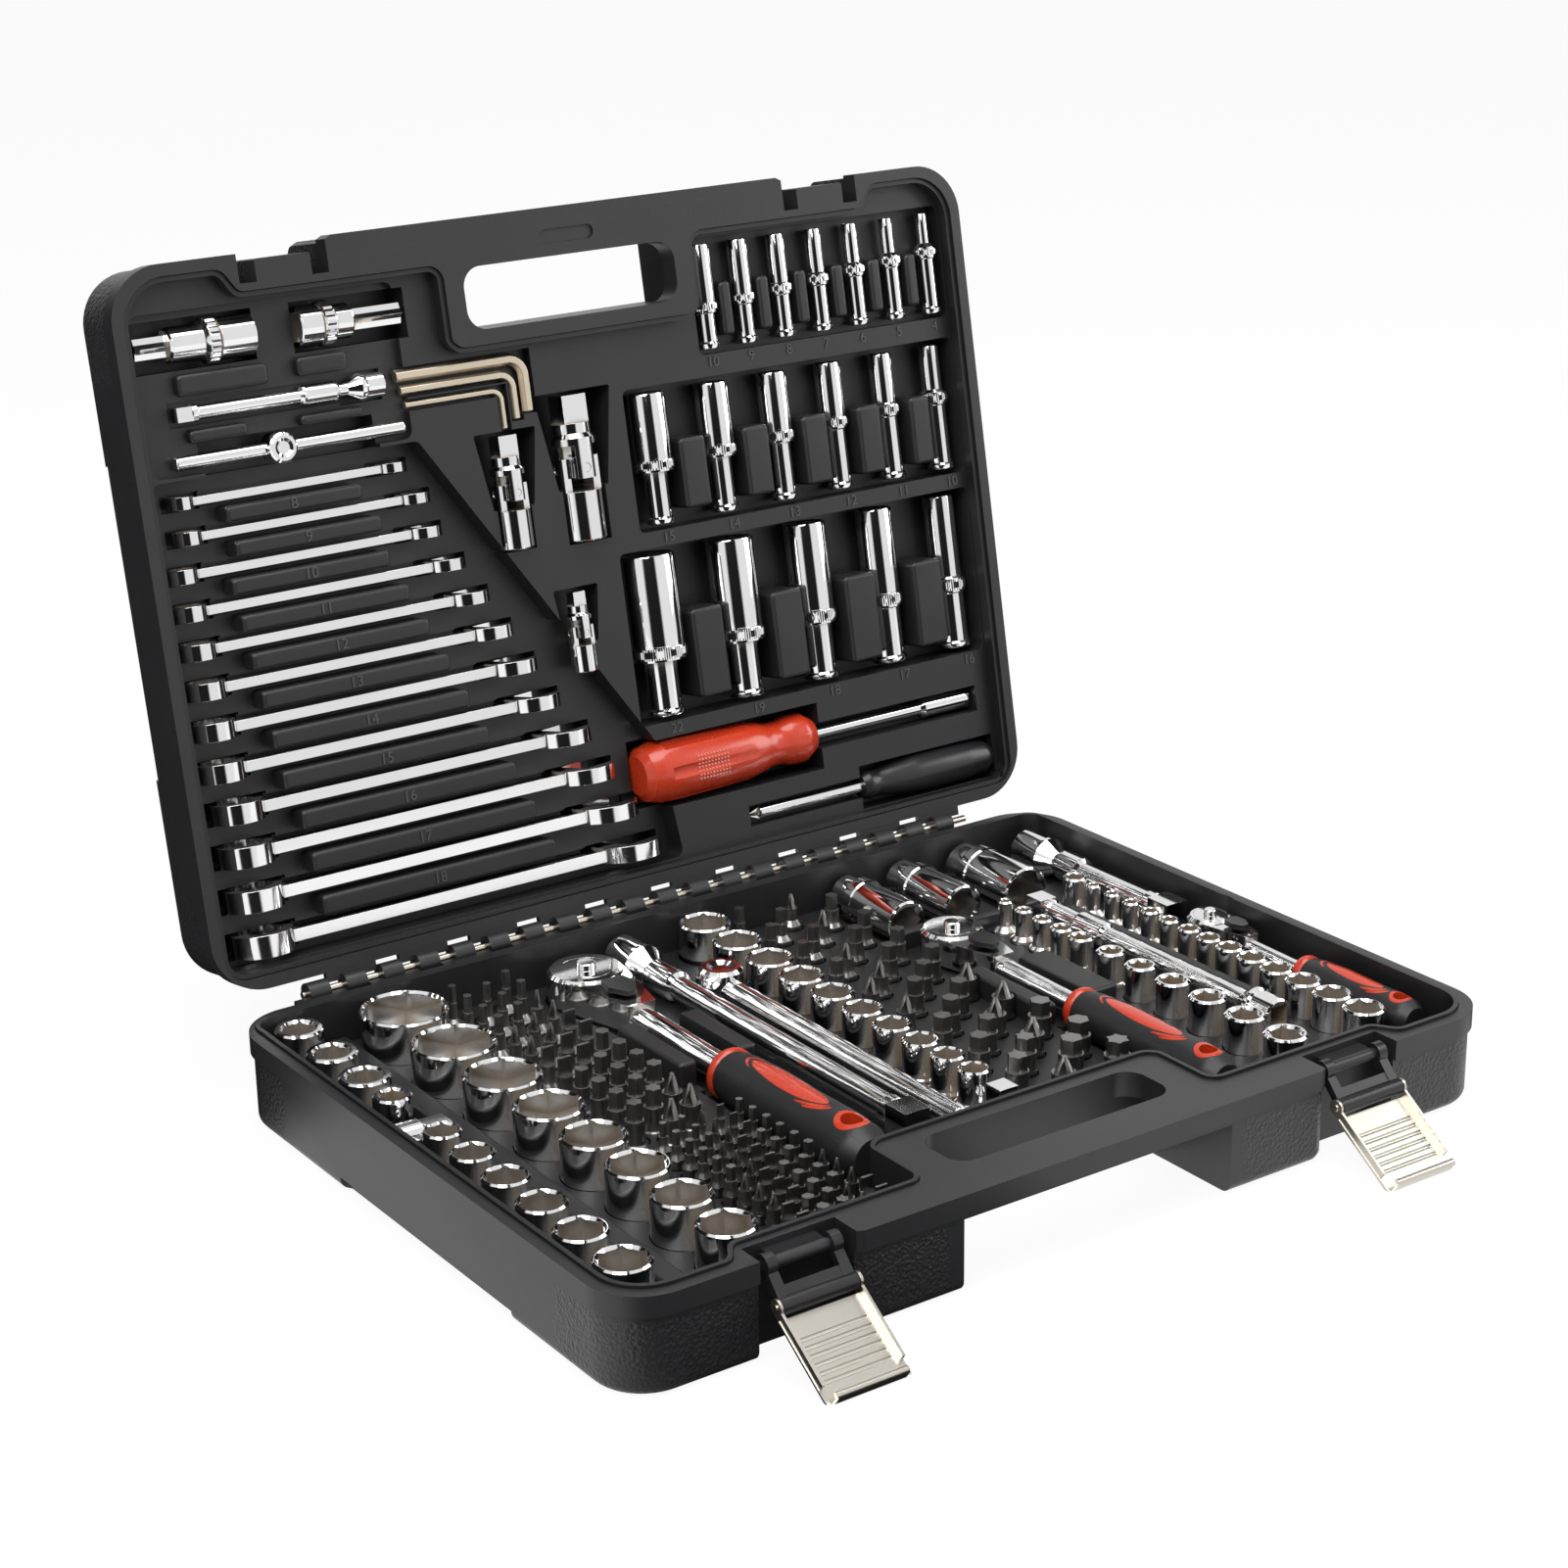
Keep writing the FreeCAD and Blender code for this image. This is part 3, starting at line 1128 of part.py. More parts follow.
bore = cylinder(quarter_t_radius + rod_fit, 40, V(quarter_t_head_x - 20, quarter_t_d, quarter_t_level),
                X_AXIS)
nodes["quarter_t_head"] = lid_place(head.cut(bore))
lid_pocket(quarter_t_left - 1, quarter_t_left + quarter_t_length + 1, quarter_t_d - quarter_t_radius - 1,
           quarter_t_d + quarter_t_radius + 1, quarter_t_level - quarter_t_radius - seat_gap)
lid_pocket(quarter_t_head_x - 0.7 * quarter_t_travel - r - 1, quarter_t_head_x + quarter_t_travel + r + 1,
           quarter_t_d - r - 0.8, quarter_t_d + r + 0.8, quarter_t_level - tall / 2 - 7.6)

lid_cuts.append(slab(small_field[0], small_field[1], small_field[2], small_field[3],
                     quarter_t_level - quarter_t_radius - seat_gap, 5.0, 4.0))
for x0, x1, y0, y1 in small_pads:
    lid_pads.append((x0, x1, y0, y1, quarter_t_level - quarter_t_radius - 1, lid_plate + 0.5))

# small extension bar
bar = extension(quarter_bar_length, 3.0, 5.4, 13.0, 4.2, 23.0, 16.0, quarter_square)
right = quarter_bar_left + quarter_bar_length
nodes["quarter_extension"] = lid_place(place(bar, V(right, quarter_bar_d, quarter_bar_level), V(-1, 0, 0)))
lid_pocket(right - 20, right + 1, quarter_bar_d - 6.8, quarter_bar_d + 6.8,
           quarter_bar_level - 6.2 - seat_gap)
lid_pocket(quarter_bar_left - 1.5, right - 12, quarter_bar_d - 5.4, quarter_bar_d + 5.4,
           quarter_bar_level - 5.0)


# star bit sockets
def star_bit_socket(body_length, tip_length):
    ring_at = 0.45 * body_length
    made = spin([(0, 0), (8.4, 0), (9.0, 0.6), (9.0, ring_at - 1.5), (8.2, ring_at - 1.0),
                 (9.6, ring_at), (9.6, ring_at + 4.5), (7.6, ring_at + 6.0), (7.6, body_length - 1.0),
                 (6.6, body_length), (0, body_length)])
    made = made.fuse(star(24, 10.1, 9.5, ring_at, ring_at + 4.0))
    made = made.fuse(star(6, 5.2, 3.9, body_length - 1, body_length + tip_length))
    return made.cut(square(half_square, -1, 12.0))


star_bits = []
for start, toward, body_length, tip_length in ((-153.5, -1, 39.5, 15.0), (-132.7, 1, 26.0, 24.0)):
    made = star_bit_socket(body_length, tip_length)
    star_bits.append(lid_place(place(made, V(start, star_bit_d, star_bit_level), V(toward, 0, 0))))
    end = start + toward * (body_length + tip_length)
    lid_pocket(min(start, end) - 1.5, max(start, end) + 1.5, star_bit_d - 10.9, star_bit_d + 10.9,
               star_bit_level - 10.1 - seat_gap)
nodes["star_bit_sockets"] = group(star_bits)

# hex keys, nested
keys = []
for i, flats in enumerate(hex_key_flats):
    bend = 1.6 * flats
    x = hex_key_corner[0] - hex_key_nest * i
    y = hex_key_corner[1] - hex_key_nest * i
    reach = flats / 2 / math.cos(math.pi / 6)
    ring_points = []
    for j in range(7):
        a = math.radians(60.0 * j)
        ring_points.append(V(x - bend, y + reach * math.cos(a), hex_key_level + reach * math.sin(a)))
    elbow = Part.Face(Part.makePolygon(ring_points))
    elbow = elbow.revolve(V(x - bend, y - bend, hex_key_level), V(0, 0, 1), -90)
    turned = []
    for p in ring_points:
        turned.append(V(x + (p.y - y), y - bend, p.z))
    short_arm = Part.Face(Part.makePolygon(turned)).extrude(V(0, -(hex_key_short[i] - bend), 0))
    points = [V(x - bend, p.y, p.z) for p in ring_points]
    long_arm = Part.Face(Part.makePolygon(points)).extrude(V(-(hex_key_long[i] - bend), 0, 0))
    keys.append(lid_place(elbow.fuse([long_arm, short_arm])))
    lid_pocket(x - hex_key_long[i] - 1, x + flats / 2 + 1.2, y - flats / 2 - 1.2, y + flats / 2 + 1.2,
               hex_key_level - reach - seat_gap)
    lid_pocket(x - flats / 2 - 1.2, x + flats / 2 + 1.2, y - hex_key_short[i] - 1, y + 1,
               hex_key_level - reach - seat_gap)
nodes["hex_keys"] = group(keys)

# drivers
g = red_handle_radius
n = red_handle_length
red = spin([(0, 0), (0.62 * g, 0), (0.86 * g, 0.03 * n), (0.98 * g, 0.1 * n), (g, 0.2 * n),
            (0.97 * g, 0.42 * n), (0.93 * g, 0.6 * n), (0.84 * g, 0.68 * n), (0.72 * g, 0.74 * n),
            (0.7 * g, 0.8 * n),
            (0.8 * g, 0.86 * n), (0.82 * g, 0.94 * n), (0.6 * g, n), (0, n)])
flutes = []
for i in range(6):
    a = math.radians(60.0 * i)
    flutes.append(cylinder(0.3 * g, 0.5 * n, V(1.2 * g * math.cos(a), 1.2 * g * math.sin(a), 0.12 * n)))
red = red.cut(flutes + [cylinder(red_shaft_radius + rod_fit, 50, V(0, 0, n - 40))])
nodes["red_driver_handle"] = lid_place(place(red, V(red_handle_left, red_d, red_level), X_AXIS))
red_right = red_handle_left + n
start = red_right - 39
red_shaft = spin([(0, 0), (red_shaft_radius, 0), (red_shaft_radius, red_socket_start - start),
                  (red_socket_radius, red_socket_start - start + 2),
                  (red_socket_radius, red_shaft_end - start),
                  (0, red_shaft_end - start)])
depth = red_shaft_end - start
red_shaft = red_shaft.cut(hexagon(6.4, depth - 14, depth + 1))
shafts = [lid_place(place(red_shaft, V(start, red_d, red_level), X_AXIS))]
lid_pocket(red_handle_left - 1.5, red_right + 1.5, red_d - g - 1.2, red_d + g + 1.2, red_level - g - seat_gap)
lid_pocket(red_right, red_shaft_end + 1.5, red_d - 6.4, red_d + 6.4, red_level - red_socket_radius - seat_gap)

g = black_handle_radius
n = black_handle_length
black = spin([(0, 0), (0.6 * g, 0), (0.74 * g, 0.05 * n), (0.66 * g, 0.12 * n), (0.8 * g, 0.22 * n),
              (0.98 * g, 0.4 * n), (g, 0.6 * n), (0.97 * g, 0.8 * n), (0.86 * g, 0.95 * n),
              (0.6 * g, n), (0, n)])
black = black.cut(cylinder(black_shaft_radius + rod_fit, 41, V(0, 0, -1)))
nodes["black_driver_handle"] = lid_place(place(black, V(black_handle_start, black_d, black_level), X_AXIS))
length = black_handle_start - black_tip + 39
shaft = spin([(0, 0), (0.9, 0), (black_shaft_radius, 6.0), (black_shaft_radius, length), (0, length)])
cross = box(-4, 4, -0.7, 0.7, -1, 7).fuse(box(-0.7, 0.7, -4, 4, -1, 7))
tip = shaft.common(box(-4, 4, -4, 4, -1, 6)).common(cross)
shaft = shaft.cut(box(-4, 4, -4, 4, -1, 5.5)).fuse(tip)
shafts.append(lid_place(place(shaft, V(black_tip, black_d, black_level), X_AXIS)))
lid_pocket(black_handle_start - 1.5, black_handle_start + n + 1.5, black_d - g - 1.2, black_d + g + 1.2,
           black_level - g - seat_gap)
lid_pocket(black_tip - 1.5, black_handle_start + 1, black_d - 5.0, black_d + 5.0,
           black_level - black_shaft_radius - 0.8)
nodes["driver_shafts"] = group(shafts)

# lid tray
lid_low = -lid_depth + shell_wall + shell_gap
lid_face = rounded_face(tray_outline(lid_finger_half), jog_round, lid_low)
lid_tray = lid_face.extrude(V(0, 0, -lid_groove - lid_low))
inner_face = rounded_face(tray_outline(lid_finger_half), jog_round, lid_plate).makeOffset2D(-tray_wall)
lid_tray = lid_tray.cut(inner_face.extrude(V(0, 0, 40.0)))
lid_cuts.append(box(70.0, 200.0, 250.0, 292.0, lid_low - 1, -17.0))
lid_cuts.append(box(36.0, 200.0, 174.0, 228.0, lid_low - 1, -24.5))
for x0, x1 in ((-half_width, guard - half_width), (half_width - guard, half_width)):
    lid_cuts.append(box(x0, x1, side_lift_start - guard, side_lift_end + guard, lid_low - 1,
                        guard - lid_depth))
lid_tray = lid_tray.cut(lid_cuts)
pads = [soft_pad(x0, x1, y0, y1, z0, z1, 2.0, 1.8) for x0, x1, y0, y1, z0, z1 in lid_pads]
lid_tray = lid_tray.fuse(pads).common(tray_room(lid_depth, lid_finger_half))
nodes["lid_tray"] = lid_place(lid_tray)

for name, shape in nodes.items():
    shape.exportStep("parts/" + name + ".step")
    print(name, len(shape.Solids), round(shape.Volume), shape.isValid())
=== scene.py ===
import bpy
import bmesh
import json
import math
from mathutils import Matrix, Vector
from mathutils.bvhtree import BVHTree


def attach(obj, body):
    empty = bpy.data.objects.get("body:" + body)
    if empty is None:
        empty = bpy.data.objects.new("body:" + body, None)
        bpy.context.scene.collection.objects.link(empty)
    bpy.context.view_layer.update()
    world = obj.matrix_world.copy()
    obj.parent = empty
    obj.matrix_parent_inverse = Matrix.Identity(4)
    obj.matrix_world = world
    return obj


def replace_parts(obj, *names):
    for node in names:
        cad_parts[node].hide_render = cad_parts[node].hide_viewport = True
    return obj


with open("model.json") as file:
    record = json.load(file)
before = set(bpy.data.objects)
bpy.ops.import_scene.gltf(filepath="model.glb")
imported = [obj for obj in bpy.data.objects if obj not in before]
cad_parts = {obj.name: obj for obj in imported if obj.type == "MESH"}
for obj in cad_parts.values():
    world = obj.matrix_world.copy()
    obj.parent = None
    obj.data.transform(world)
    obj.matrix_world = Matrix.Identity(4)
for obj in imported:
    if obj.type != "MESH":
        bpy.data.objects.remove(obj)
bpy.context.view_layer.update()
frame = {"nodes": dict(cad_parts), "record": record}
print("frame loaded", len(frame["nodes"]))

scene = bpy.context.scene
scene.view_settings.view_transform = "Standard"

# the case's own places, in metres, and the record's tables
layout = {"hingeY": 0.162, "rimZ": 0.042, "lidTurn": math.radians(79.3), "lidPlate": -0.008}
slotOf = {entry["node"]: entry["material_slot"] for entry in frame["record"]["subparts"]}
bodyOf = {node: body for body, names in frame["record"]["behaviour"]["bodies"].items() for node in names}

# the open lid's place, and what turns points back into the lid's own frame
lidSwing = Matrix.Rotation(layout["lidTurn"], 4, "X")
lidPlace = Matrix.Translation((0, layout["hingeY"], layout["rimZ"])) @ lidSwing
lidLocal = lidPlace.inverted()
asDrawn = Matrix.Identity(4)

# how near points are merged, and the degrees past which an edge stays sharp
mergeReach = 0.000004
sharp = {"plain": 33, "chrome": 20, "paintedHighlightNumeral": 20, "knurl": 12}


def finishPiece(bm, name, body, material, smooth=sharp["plain"]):
    mesh = bpy.data.meshes.new(name)
    bm.normal_update()
    bm.to_mesh(mesh)
    bm.free()
    stale = mesh.attributes.get("custom_normal")  # no longer fits once points are merged
    if stale:
        mesh.attributes.remove(stale)
    piece = bpy.data.objects.new(name, mesh)
    scene.collection.objects.link(piece)
    mesh.shade_smooth()
    mesh.set_sharp_from_angle(angle=math.radians(smooth))
    mesh.materials.append(material)
    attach(piece, body)
    return piece


def mergedMesh(name):
    bm = bmesh.new()
    bm.from_mesh(frame["nodes"][name].data)
    bmesh.ops.remove_doubles(bm, verts=bm.verts, dist=mergeReach)
    return bm


# groups of joined points of a node, each as a list of places
def islands(name, turn):
    bm = mergedMesh(name)
    left = dict.fromkeys(bm.verts)
    found = []
    while left:
        front = [left.popitem()[0]]
        points = []
        while front:
            vert = front.pop()
            points.append(turn @ vert.co)
            for edge in vert.link_edges:
                other = edge.other_vert(vert)
                if other in left:
                    del left[other]
                    front.append(other)
        found.append(points)
    bm.free()
    return found


def span(points, axis):
    values = [point[axis] for point in points]
    return min(values), max(values)


def mid(points, axis):
    return sum(span(points, axis)) / 2


# shared shader groups
def newGroup(name, inputs, outputs):
    group = bpy.data.node_groups.new(name, "ShaderNodeTree")
    for label, kind in inputs:
        group.interface.new_socket(label, in_out="INPUT", socket_type=kind)
    for label, kind in outputs:
        group.interface.new_socket(label, in_out="OUTPUT", socket_type=kind)
    start = group.nodes.new("NodeGroupInput")
    end = group.nodes.new("NodeGroupOutput")
    return group, start, end


def addMath(tree, operation, *values):
    node = tree.nodes.new("ShaderNodeMath")
    node.operation = operation
    for socket, value in zip(node.inputs, values):
        if isinstance(value, bpy.types.NodeSocket):
            tree.links.new(value, socket)
        else:
            socket.default_value = value
    return node.outputs["Value"]


def addStep(tree, value, low, high):
    node = tree.nodes.new("ShaderNodeMapRange")
    node.interpolation_type = "SMOOTHSTEP"
    node.inputs["From Min"].default_value = low
    node.inputs["From Max"].default_value = high
    tree.links.new(value, node.inputs["Value"])
    return node.outputs["Result"]


def addGroup(tree, group):
    node = tree.nodes.new("ShaderNodeGroup")
    node.node_tree = group
    return node


def addBlend(tree, factor, *ends):
    node = tree.nodes.new("ShaderNodeMix")
    node.data_type = "RGBA"
    tree.links.new(factor, node.inputs["Factor"])
    for label, colour in zip("AB", ends):
        if isinstance(colour, bpy.types.NodeSocket):
            tree.links.new(colour, node.inputs[label])
        else:
            node.inputs[label].default_value = (*colour, 1)
    return node.outputs["Result"]


def addMixShader(tree, factor, first, second):
    node = tree.nodes.new("ShaderNodeMixShader")
    for socket, origin in zip(node.inputs, (factor, first, second)):
        tree.links.new(origin, socket)
    return node.outputs["Shader"]


grainPlan = {"detail": 4, "roughness": 0.6, "blotchScale": 26, "blotchDetail": 3}


def grainGroup():
    group, start, end = newGroup("surfaceGrain",
                                 [("Vector", "NodeSocketVector"), ("Scale", "NodeSocketFloat")],
                                 [("Height", "NodeSocketFloat"), ("Blotch", "NodeSocketFloat")])
    nodes, links = group.nodes, group.links
    fine = nodes.new("ShaderNodeTexNoise")
    fine.inputs["Detail"].default_value = grainPlan["detail"]
    fine.inputs["Roughness"].default_value = grainPlan["roughness"]
    broad = nodes.new("ShaderNodeTexNoise")
    broad.inputs["Scale"].default_value = grainPlan["blotchScale"]
    broad.inputs["Detail"].default_value = grainPlan["blotchDetail"]
    links.new(start.outputs["Vector"], fine.inputs["Vector"])
    links.new(start.outputs["Scale"], fine.inputs["Scale"])
    links.new(start.outputs["Vector"], broad.inputs["Vector"])
    links.new(fine.outputs["Fac"], end.inputs["Height"])
    links.new(broad.outputs["Fac"], end.inputs["Blotch"])
    return group


# painted shade: a mask of bores and other hollows, from how open a place is, that darkens chrome where
# ambient occlusion finds it enclosed
hollowPlan = {"samples": 6, "open": 0.8, "closed": 0.42}


def hollowGroup():
    group, start, end = newGroup("hollowMask", [("Distance", "NodeSocketFloat")],
                                 [("Mask", "NodeSocketFloat")])
    near = group.nodes.new("ShaderNodeAmbientOcclusion")
    near.samples = hollowPlan["samples"]
    near.only_local = True
    group.links.new(start.outputs["Distance"], near.inputs["Distance"])
    mask = addStep(group, near.outputs["AO"], hollowPlan["open"], hollowPlan["closed"])
    group.links.new(mask, end.inputs["Mask"])
    return group


# leather grain on the outer faces of the corner blocks, in a case half's own x, depth and height
leatherPlan = {"belowRim": (-0.0095, -0.013), "front": (0.3055, 0.309), "besideHandle": (0.072, 0.078),
               "ends": (0.209, 0.216), "middle": 0.16, "offMiddle": (0.106, 0.112),
               "cells": 640, "pits": 0.00045}


def leatherGroup():
    group, start, end = newGroup("leatherPanel", [("Vector", "NodeSocketVector")],
                                 [("Height", "NodeSocketFloat"), ("Mask", "NodeSocketFloat")])
    nodes, links = group.nodes, group.links
    split = nodes.new("ShaderNodeSeparateXYZ")
    links.new(start.outputs["Vector"], split.inputs["Vector"])
    across = addMath(group, "ABSOLUTE", split.outputs["X"])
    fromMiddle = addMath(group, "SUBTRACT", split.outputs["Y"], leatherPlan["middle"])
    outward = addMath(group, "ABSOLUTE", fromMiddle)
    low = addStep(group, split.outputs["Z"], *leatherPlan["belowRim"])
    front = addMath(group, "MULTIPLY", addStep(group, split.outputs["Y"], *leatherPlan["front"]),
                    addStep(group, across, *leatherPlan["besideHandle"]))
    sides = addMath(group, "MULTIPLY", addStep(group, across, *leatherPlan["ends"]),
                    addStep(group, outward, *leatherPlan["offMiddle"]))
    mask = addMath(group, "MULTIPLY", addMath(group, "MAXIMUM", front, sides), low)
    cells = nodes.new("ShaderNodeTexVoronoi")
    cells.inputs["Scale"].default_value = leatherPlan["cells"]
    links.new(start.outputs["Vector"], cells.inputs["Vector"])
    links.new(cells.outputs["Distance"], end.inputs["Height"])
    links.new(mask, end.inputs["Mask"])
    return group


grainNodes = grainGroup()
hollowNodes = hollowGroup()
leatherNodes = leatherGroup()


# what a look doesn't say itself
plainLook = {"metal": 0.0, "ior": 1.5, "coat": 0.0, "coatRough": 0.08, "depth": 0.0002}


def makeMaterial(name, ownLook):
    look = {**plainLook, **ownLook}
    material = bpy.data.materials.new(name)
    material.use_nodes = True
    tree = material.node_tree
    nodes, links = tree.nodes, tree.links
    shader = nodes["Principled BSDF"]
    shader.inputs["Metallic"].default_value = look["metal"]
    shader.inputs["IOR"].default_value = look["ior"]
    shader.inputs["Coat Weight"].default_value = look["coat"]
    shader.inputs["Coat Roughness"].default_value = look["coatRough"]
    place = nodes.new("ShaderNodeTexCoord")
    grain = addGroup(tree, grainNodes)
    grain.inputs["Scale"].default_value = look["grain"]
    links.new(place.outputs["Object"], grain.inputs["Vector"])
    colour = addBlend(tree, grain.outputs["Blotch"], look["dark"], look["light"])
    # painted shade: where the occlusion mask is high, the colour turns a dark warm brown and less metallic
    if "hollow" in look:
        mask = addGroup(tree, hollowNodes)
        mask.inputs["Distance"].default_value = look["hollowReach"]
        colour = addBlend(tree, mask.outputs["Mask"], colour, look["hollow"])
        metal = addMath(tree, "MULTIPLY_ADD", mask.outputs["Mask"], -look["hollowMatte"], look["metal"])
        links.new(metal, shader.inputs["Metallic"])
    links.new(colour, shader.inputs["Base Color"])
    rough = nodes.new("ShaderNodeMapRange")
    rough.inputs["To Min"].default_value, rough.inputs["To Max"].default_value = look["rough"]
    links.new(grain.outputs["Height"], rough.inputs["Value"])
    links.new(rough.outputs["Result"], shader.inputs["Roughness"])
    bump = nodes.new("ShaderNodeBump")
    bump.inputs["Strength"].default_value = look["bump"]
    bump.inputs["Distance"].default_value = look["depth"]
    links.new(grain.outputs["Height"], bump.inputs["Height"])
    if "leather" in look:
        turn = nodes.new("ShaderNodeMapping")
        turn.inputs["Location"].default_value = look["leather"]["place"]
        turn.inputs["Rotation"].default_value = look["leather"]["turn"]
        turn.inputs["Scale"].default_value = look["leather"]["scale"]
        links.new(place.outputs["Object"], turn.inputs["Vector"])
        panel = addGroup(tree, leatherNodes)
        links.new(turn.outputs["Vector"], panel.inputs["Vector"])
        pits = nodes.new("ShaderNodeBump")
        pits.inputs["Distance"].default_value = leatherPlan["pits"]
        links.new(panel.outputs["Mask"], pits.inputs["Strength"])
        links.new(panel.outputs["Height"], pits.inputs["Height"])
        links.new(pits.outputs["Normal"], bump.inputs["Normal"])
    links.new(bump.outputs["Normal"], shader.inputs["Normal"])
    return material


baseFrame = {"place": (0, layout["hingeY"], -layout["rimZ"]), "turn": (0, 0, 0), "scale": (1, -1, 1)}
lidFrame = {"place": lidLocal.to_translation(), "turn": (-layout["lidTurn"], 0, 0), "scale": (1, 1, 1)}
shellLook = {"dark": (0.010, 0.010, 0.011), "light": (0.016, 0.016, 0.017), "rough": (0.30, 0.46),
             "grain": 1400, "bump": 0.3, "depth": 0.00022}
looks = {
    "shell": {**shellLook, "leather": baseFrame},
    "lidShell": {**shellLook, "leather": lidFrame},
    "tray": {"dark": (0.007, 0.007, 0.008), "light": (0.012, 0.012, 0.013), "rough": (0.34, 0.5),
             "grain": 1700, "bump": 0.25},
    # numerals: the tray's black plastic made lighter as a painted highlight
    "paintedHighlightNumeral": {"dark": (0.04, 0.04, 0.041), "light": (0.055, 0.055, 0.056), "rough": (0.3, 0.4),
                "grain": 1700, "bump": 0.1},
    # chrome, with painted shade of dark warm brown laid into its bores and hollows
    "chrome": {"dark": (0.78, 0.78, 0.78), "light": (0.88, 0.88, 0.88), "rough": (0.04, 0.1),
               "grain": 900, "bump": 0.012, "metal": 1.0,
               "hollow": (0.3, 0.235, 0.165), "hollowReach": 0.012, "hollowMatte": 0.6},
    "darkSteel": {"dark": (0.2, 0.195, 0.19), "light": (0.3, 0.295, 0.285), "rough": (0.22, 0.38),
                  "grain": 1600, "bump": 0.08, "metal": 1.0},
    "steel": {"dark": (0.6, 0.54, 0.44), "light": (0.72, 0.66, 0.56), "rough": (0.16, 0.3),
              "grain": 1500, "bump": 0.05, "metal": 1.0},
    "goldSteel": {"dark": (0.55, 0.47, 0.36), "light": (0.68, 0.6, 0.48), "rough": (0.32, 0.46),
                  "grain": 1500, "bump": 0.05, "metal": 1.0},
    "nickel": {"dark": (0.5, 0.47, 0.41), "light": (0.62, 0.59, 0.53), "rough": (0.26, 0.4),
               "grain": 1200, "bump": 0.05, "metal": 1.0},
    "grip": {"dark": (0.006, 0.006, 0.007), "light": (0.011, 0.011, 0.012), "rough": (0.4, 0.55),
             "grain": 2000, "bump": 0.3},
    "red": {"dark": (0.4, 0.026, 0.007), "light": (0.48, 0.036, 0.009), "rough": (0.2, 0.32),
            "grain": 700, "bump": 0.04, "coat": 0.25},
    # handle dots: the handle's red made pale pink as a painted highlight
    "redDotsPaintedHighlight": {"dark": (0.6, 0.17, 0.12), "light": (0.68, 0.23, 0.17), "rough": (0.3, 0.4),
                "grain": 700, "bump": 0.04},
    "black": {"dark": (0.006, 0.006, 0.007), "light": (0.011, 0.011, 0.012), "rough": (0.24, 0.38),
              "grain": 1500, "bump": 0.12},
}
materials = {name: makeMaterial(name, look) for name, look in looks.items()}
print("materials made", len(materials))


# CAD nodes as merged copies with smooth faces and softened edges
slotLooks = {"dark_steel": "darkSteel"}
nodeLooks = {"lid_shell": "lidShell", "hex_keys": "goldSteel"}
softWidths = {"base_shell": 0.0007, "lid_shell": 0.0007, "base_tray": 0.0006, "lid_tray": 0.0006,
              "left_latch_lever": 0.0004, "right_latch_lever": 0.0004, "combination_wrenches": 0.0011}
soften = {"flat": 0.4, "edge": 38, "segments": 2, "width": 0.0002}
freeTurn = {"half_ratchet_drive": 0.996}  # keeps the wheel's facets clear of the bore's when it turns


def dressNode(name):
    bm = mergedMesh(name)
    bmesh.ops.dissolve_limit(bm, angle_limit=math.radians(soften["flat"]), verts=bm.verts, edges=bm.edges)
    slot = slotOf[name]
    look = nodeLooks.get(name, slotLooks.get(slot, slot))
    if name in freeTurn:
        middle = sum((vert.co for vert in bm.verts), Vector()) / len(bm.verts)
        shrink = (freeTurn[name], freeTurn[name], 1)
        bmesh.ops.scale(bm, vec=shrink, space=Matrix.Translation(-middle), verts=bm.verts)
    smooth = sharp["chrome" if slot == "chrome" else "plain"]
    piece = finishPiece(bm, name + "Dressed", bodyOf[name], materials[look], smooth)
    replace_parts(piece, name)
    bevel = piece.modifiers.new("bevel", "BEVEL")
    bevel.width = softWidths.get(name, soften["width"])
    bevel.segments = soften["segments"]
    bevel.limit_method = "ANGLE"
    bevel.angle_limit = math.radians(soften["edge"])


turnedNodes = {"deep_sockets"}  # made again on a lathe below
for nodeName in slotOf:
    if nodeName not in turnedNodes:
        dressNode(nodeName)
print("nodes dressed", len(slotOf) - len(turnedNodes))


# rings round Z from a list of radius and height, with a single point where the radius is zero
def addLathe(bm, profile, place, steps=56):
    rings = []
    for r, z in profile:
        count = steps if r > 0 else 1
        angles = [2 * math.pi * k / count for k in range(count)]
        rings.append([bm.verts.new(place @ Vector((r * math.cos(a), r * math.sin(a), z))) for a in angles])
    for low, high in zip(rings, rings[1:]):
        for k in range(steps):
            after = k + 1
            corners = [low[k % len(low)], low[after % len(low)], high[after % len(high)], high[k % len(high)]]
            bm.faces.new(list(dict.fromkeys(corners)))


# knurled sleeve round an axis, drawn along Z and then placed
def addKnurl(bm, place, knurl):
    around = 2 * knurl["teeth"]
    rows = knurl["rows"]
    rings = []
    for row in range(rows + 1):
        ring = []
        z = knurl["length"] * row / rows
        for step in range(around):
            raised = (step + (row if knurl["diamond"] else 0)) % 2 == 0
            edge = row in (0, rows)
            r = knurl["radius"] + (knurl["depth"] if raised and not edge else 0)
            angle = 2 * math.pi * step / around
            ring.append(bm.verts.new(place @ Vector((r * math.cos(angle), r * math.sin(angle), z))))
        rings.append(ring)
    for low, high in zip(rings, rings[1:]):
        for step in range(around):
            after = (step + 1) % around
            bm.faces.new((low[step], low[after], high[after], high[step]))
    bm.faces.new(list(reversed(rings[0])))
    bm.faces.new(rings[-1])


def axisPlace(centre, axis):
    return Matrix.Translation(centre) @ Vector((0, 0, 1)).rotation_difference(axis).to_matrix().to_4x4()


# deep sockets on a lathe, with a grip band at the widest place of each one
band = {"pitch": 0.0011, "depth": 0.00022, "rows": 5, "share": 0.985}
turned = {"chamfer": 0.0007, "ease": 0.3, "lip": 0.0005, "foot": 0.0024, "waist": 0.0009, "neck": 0.0016,
          "shoulder": 0.001, "collar": 0.0006, "ledge": 0.0006, "bore": 0.8, "boreDepth": 0.45}


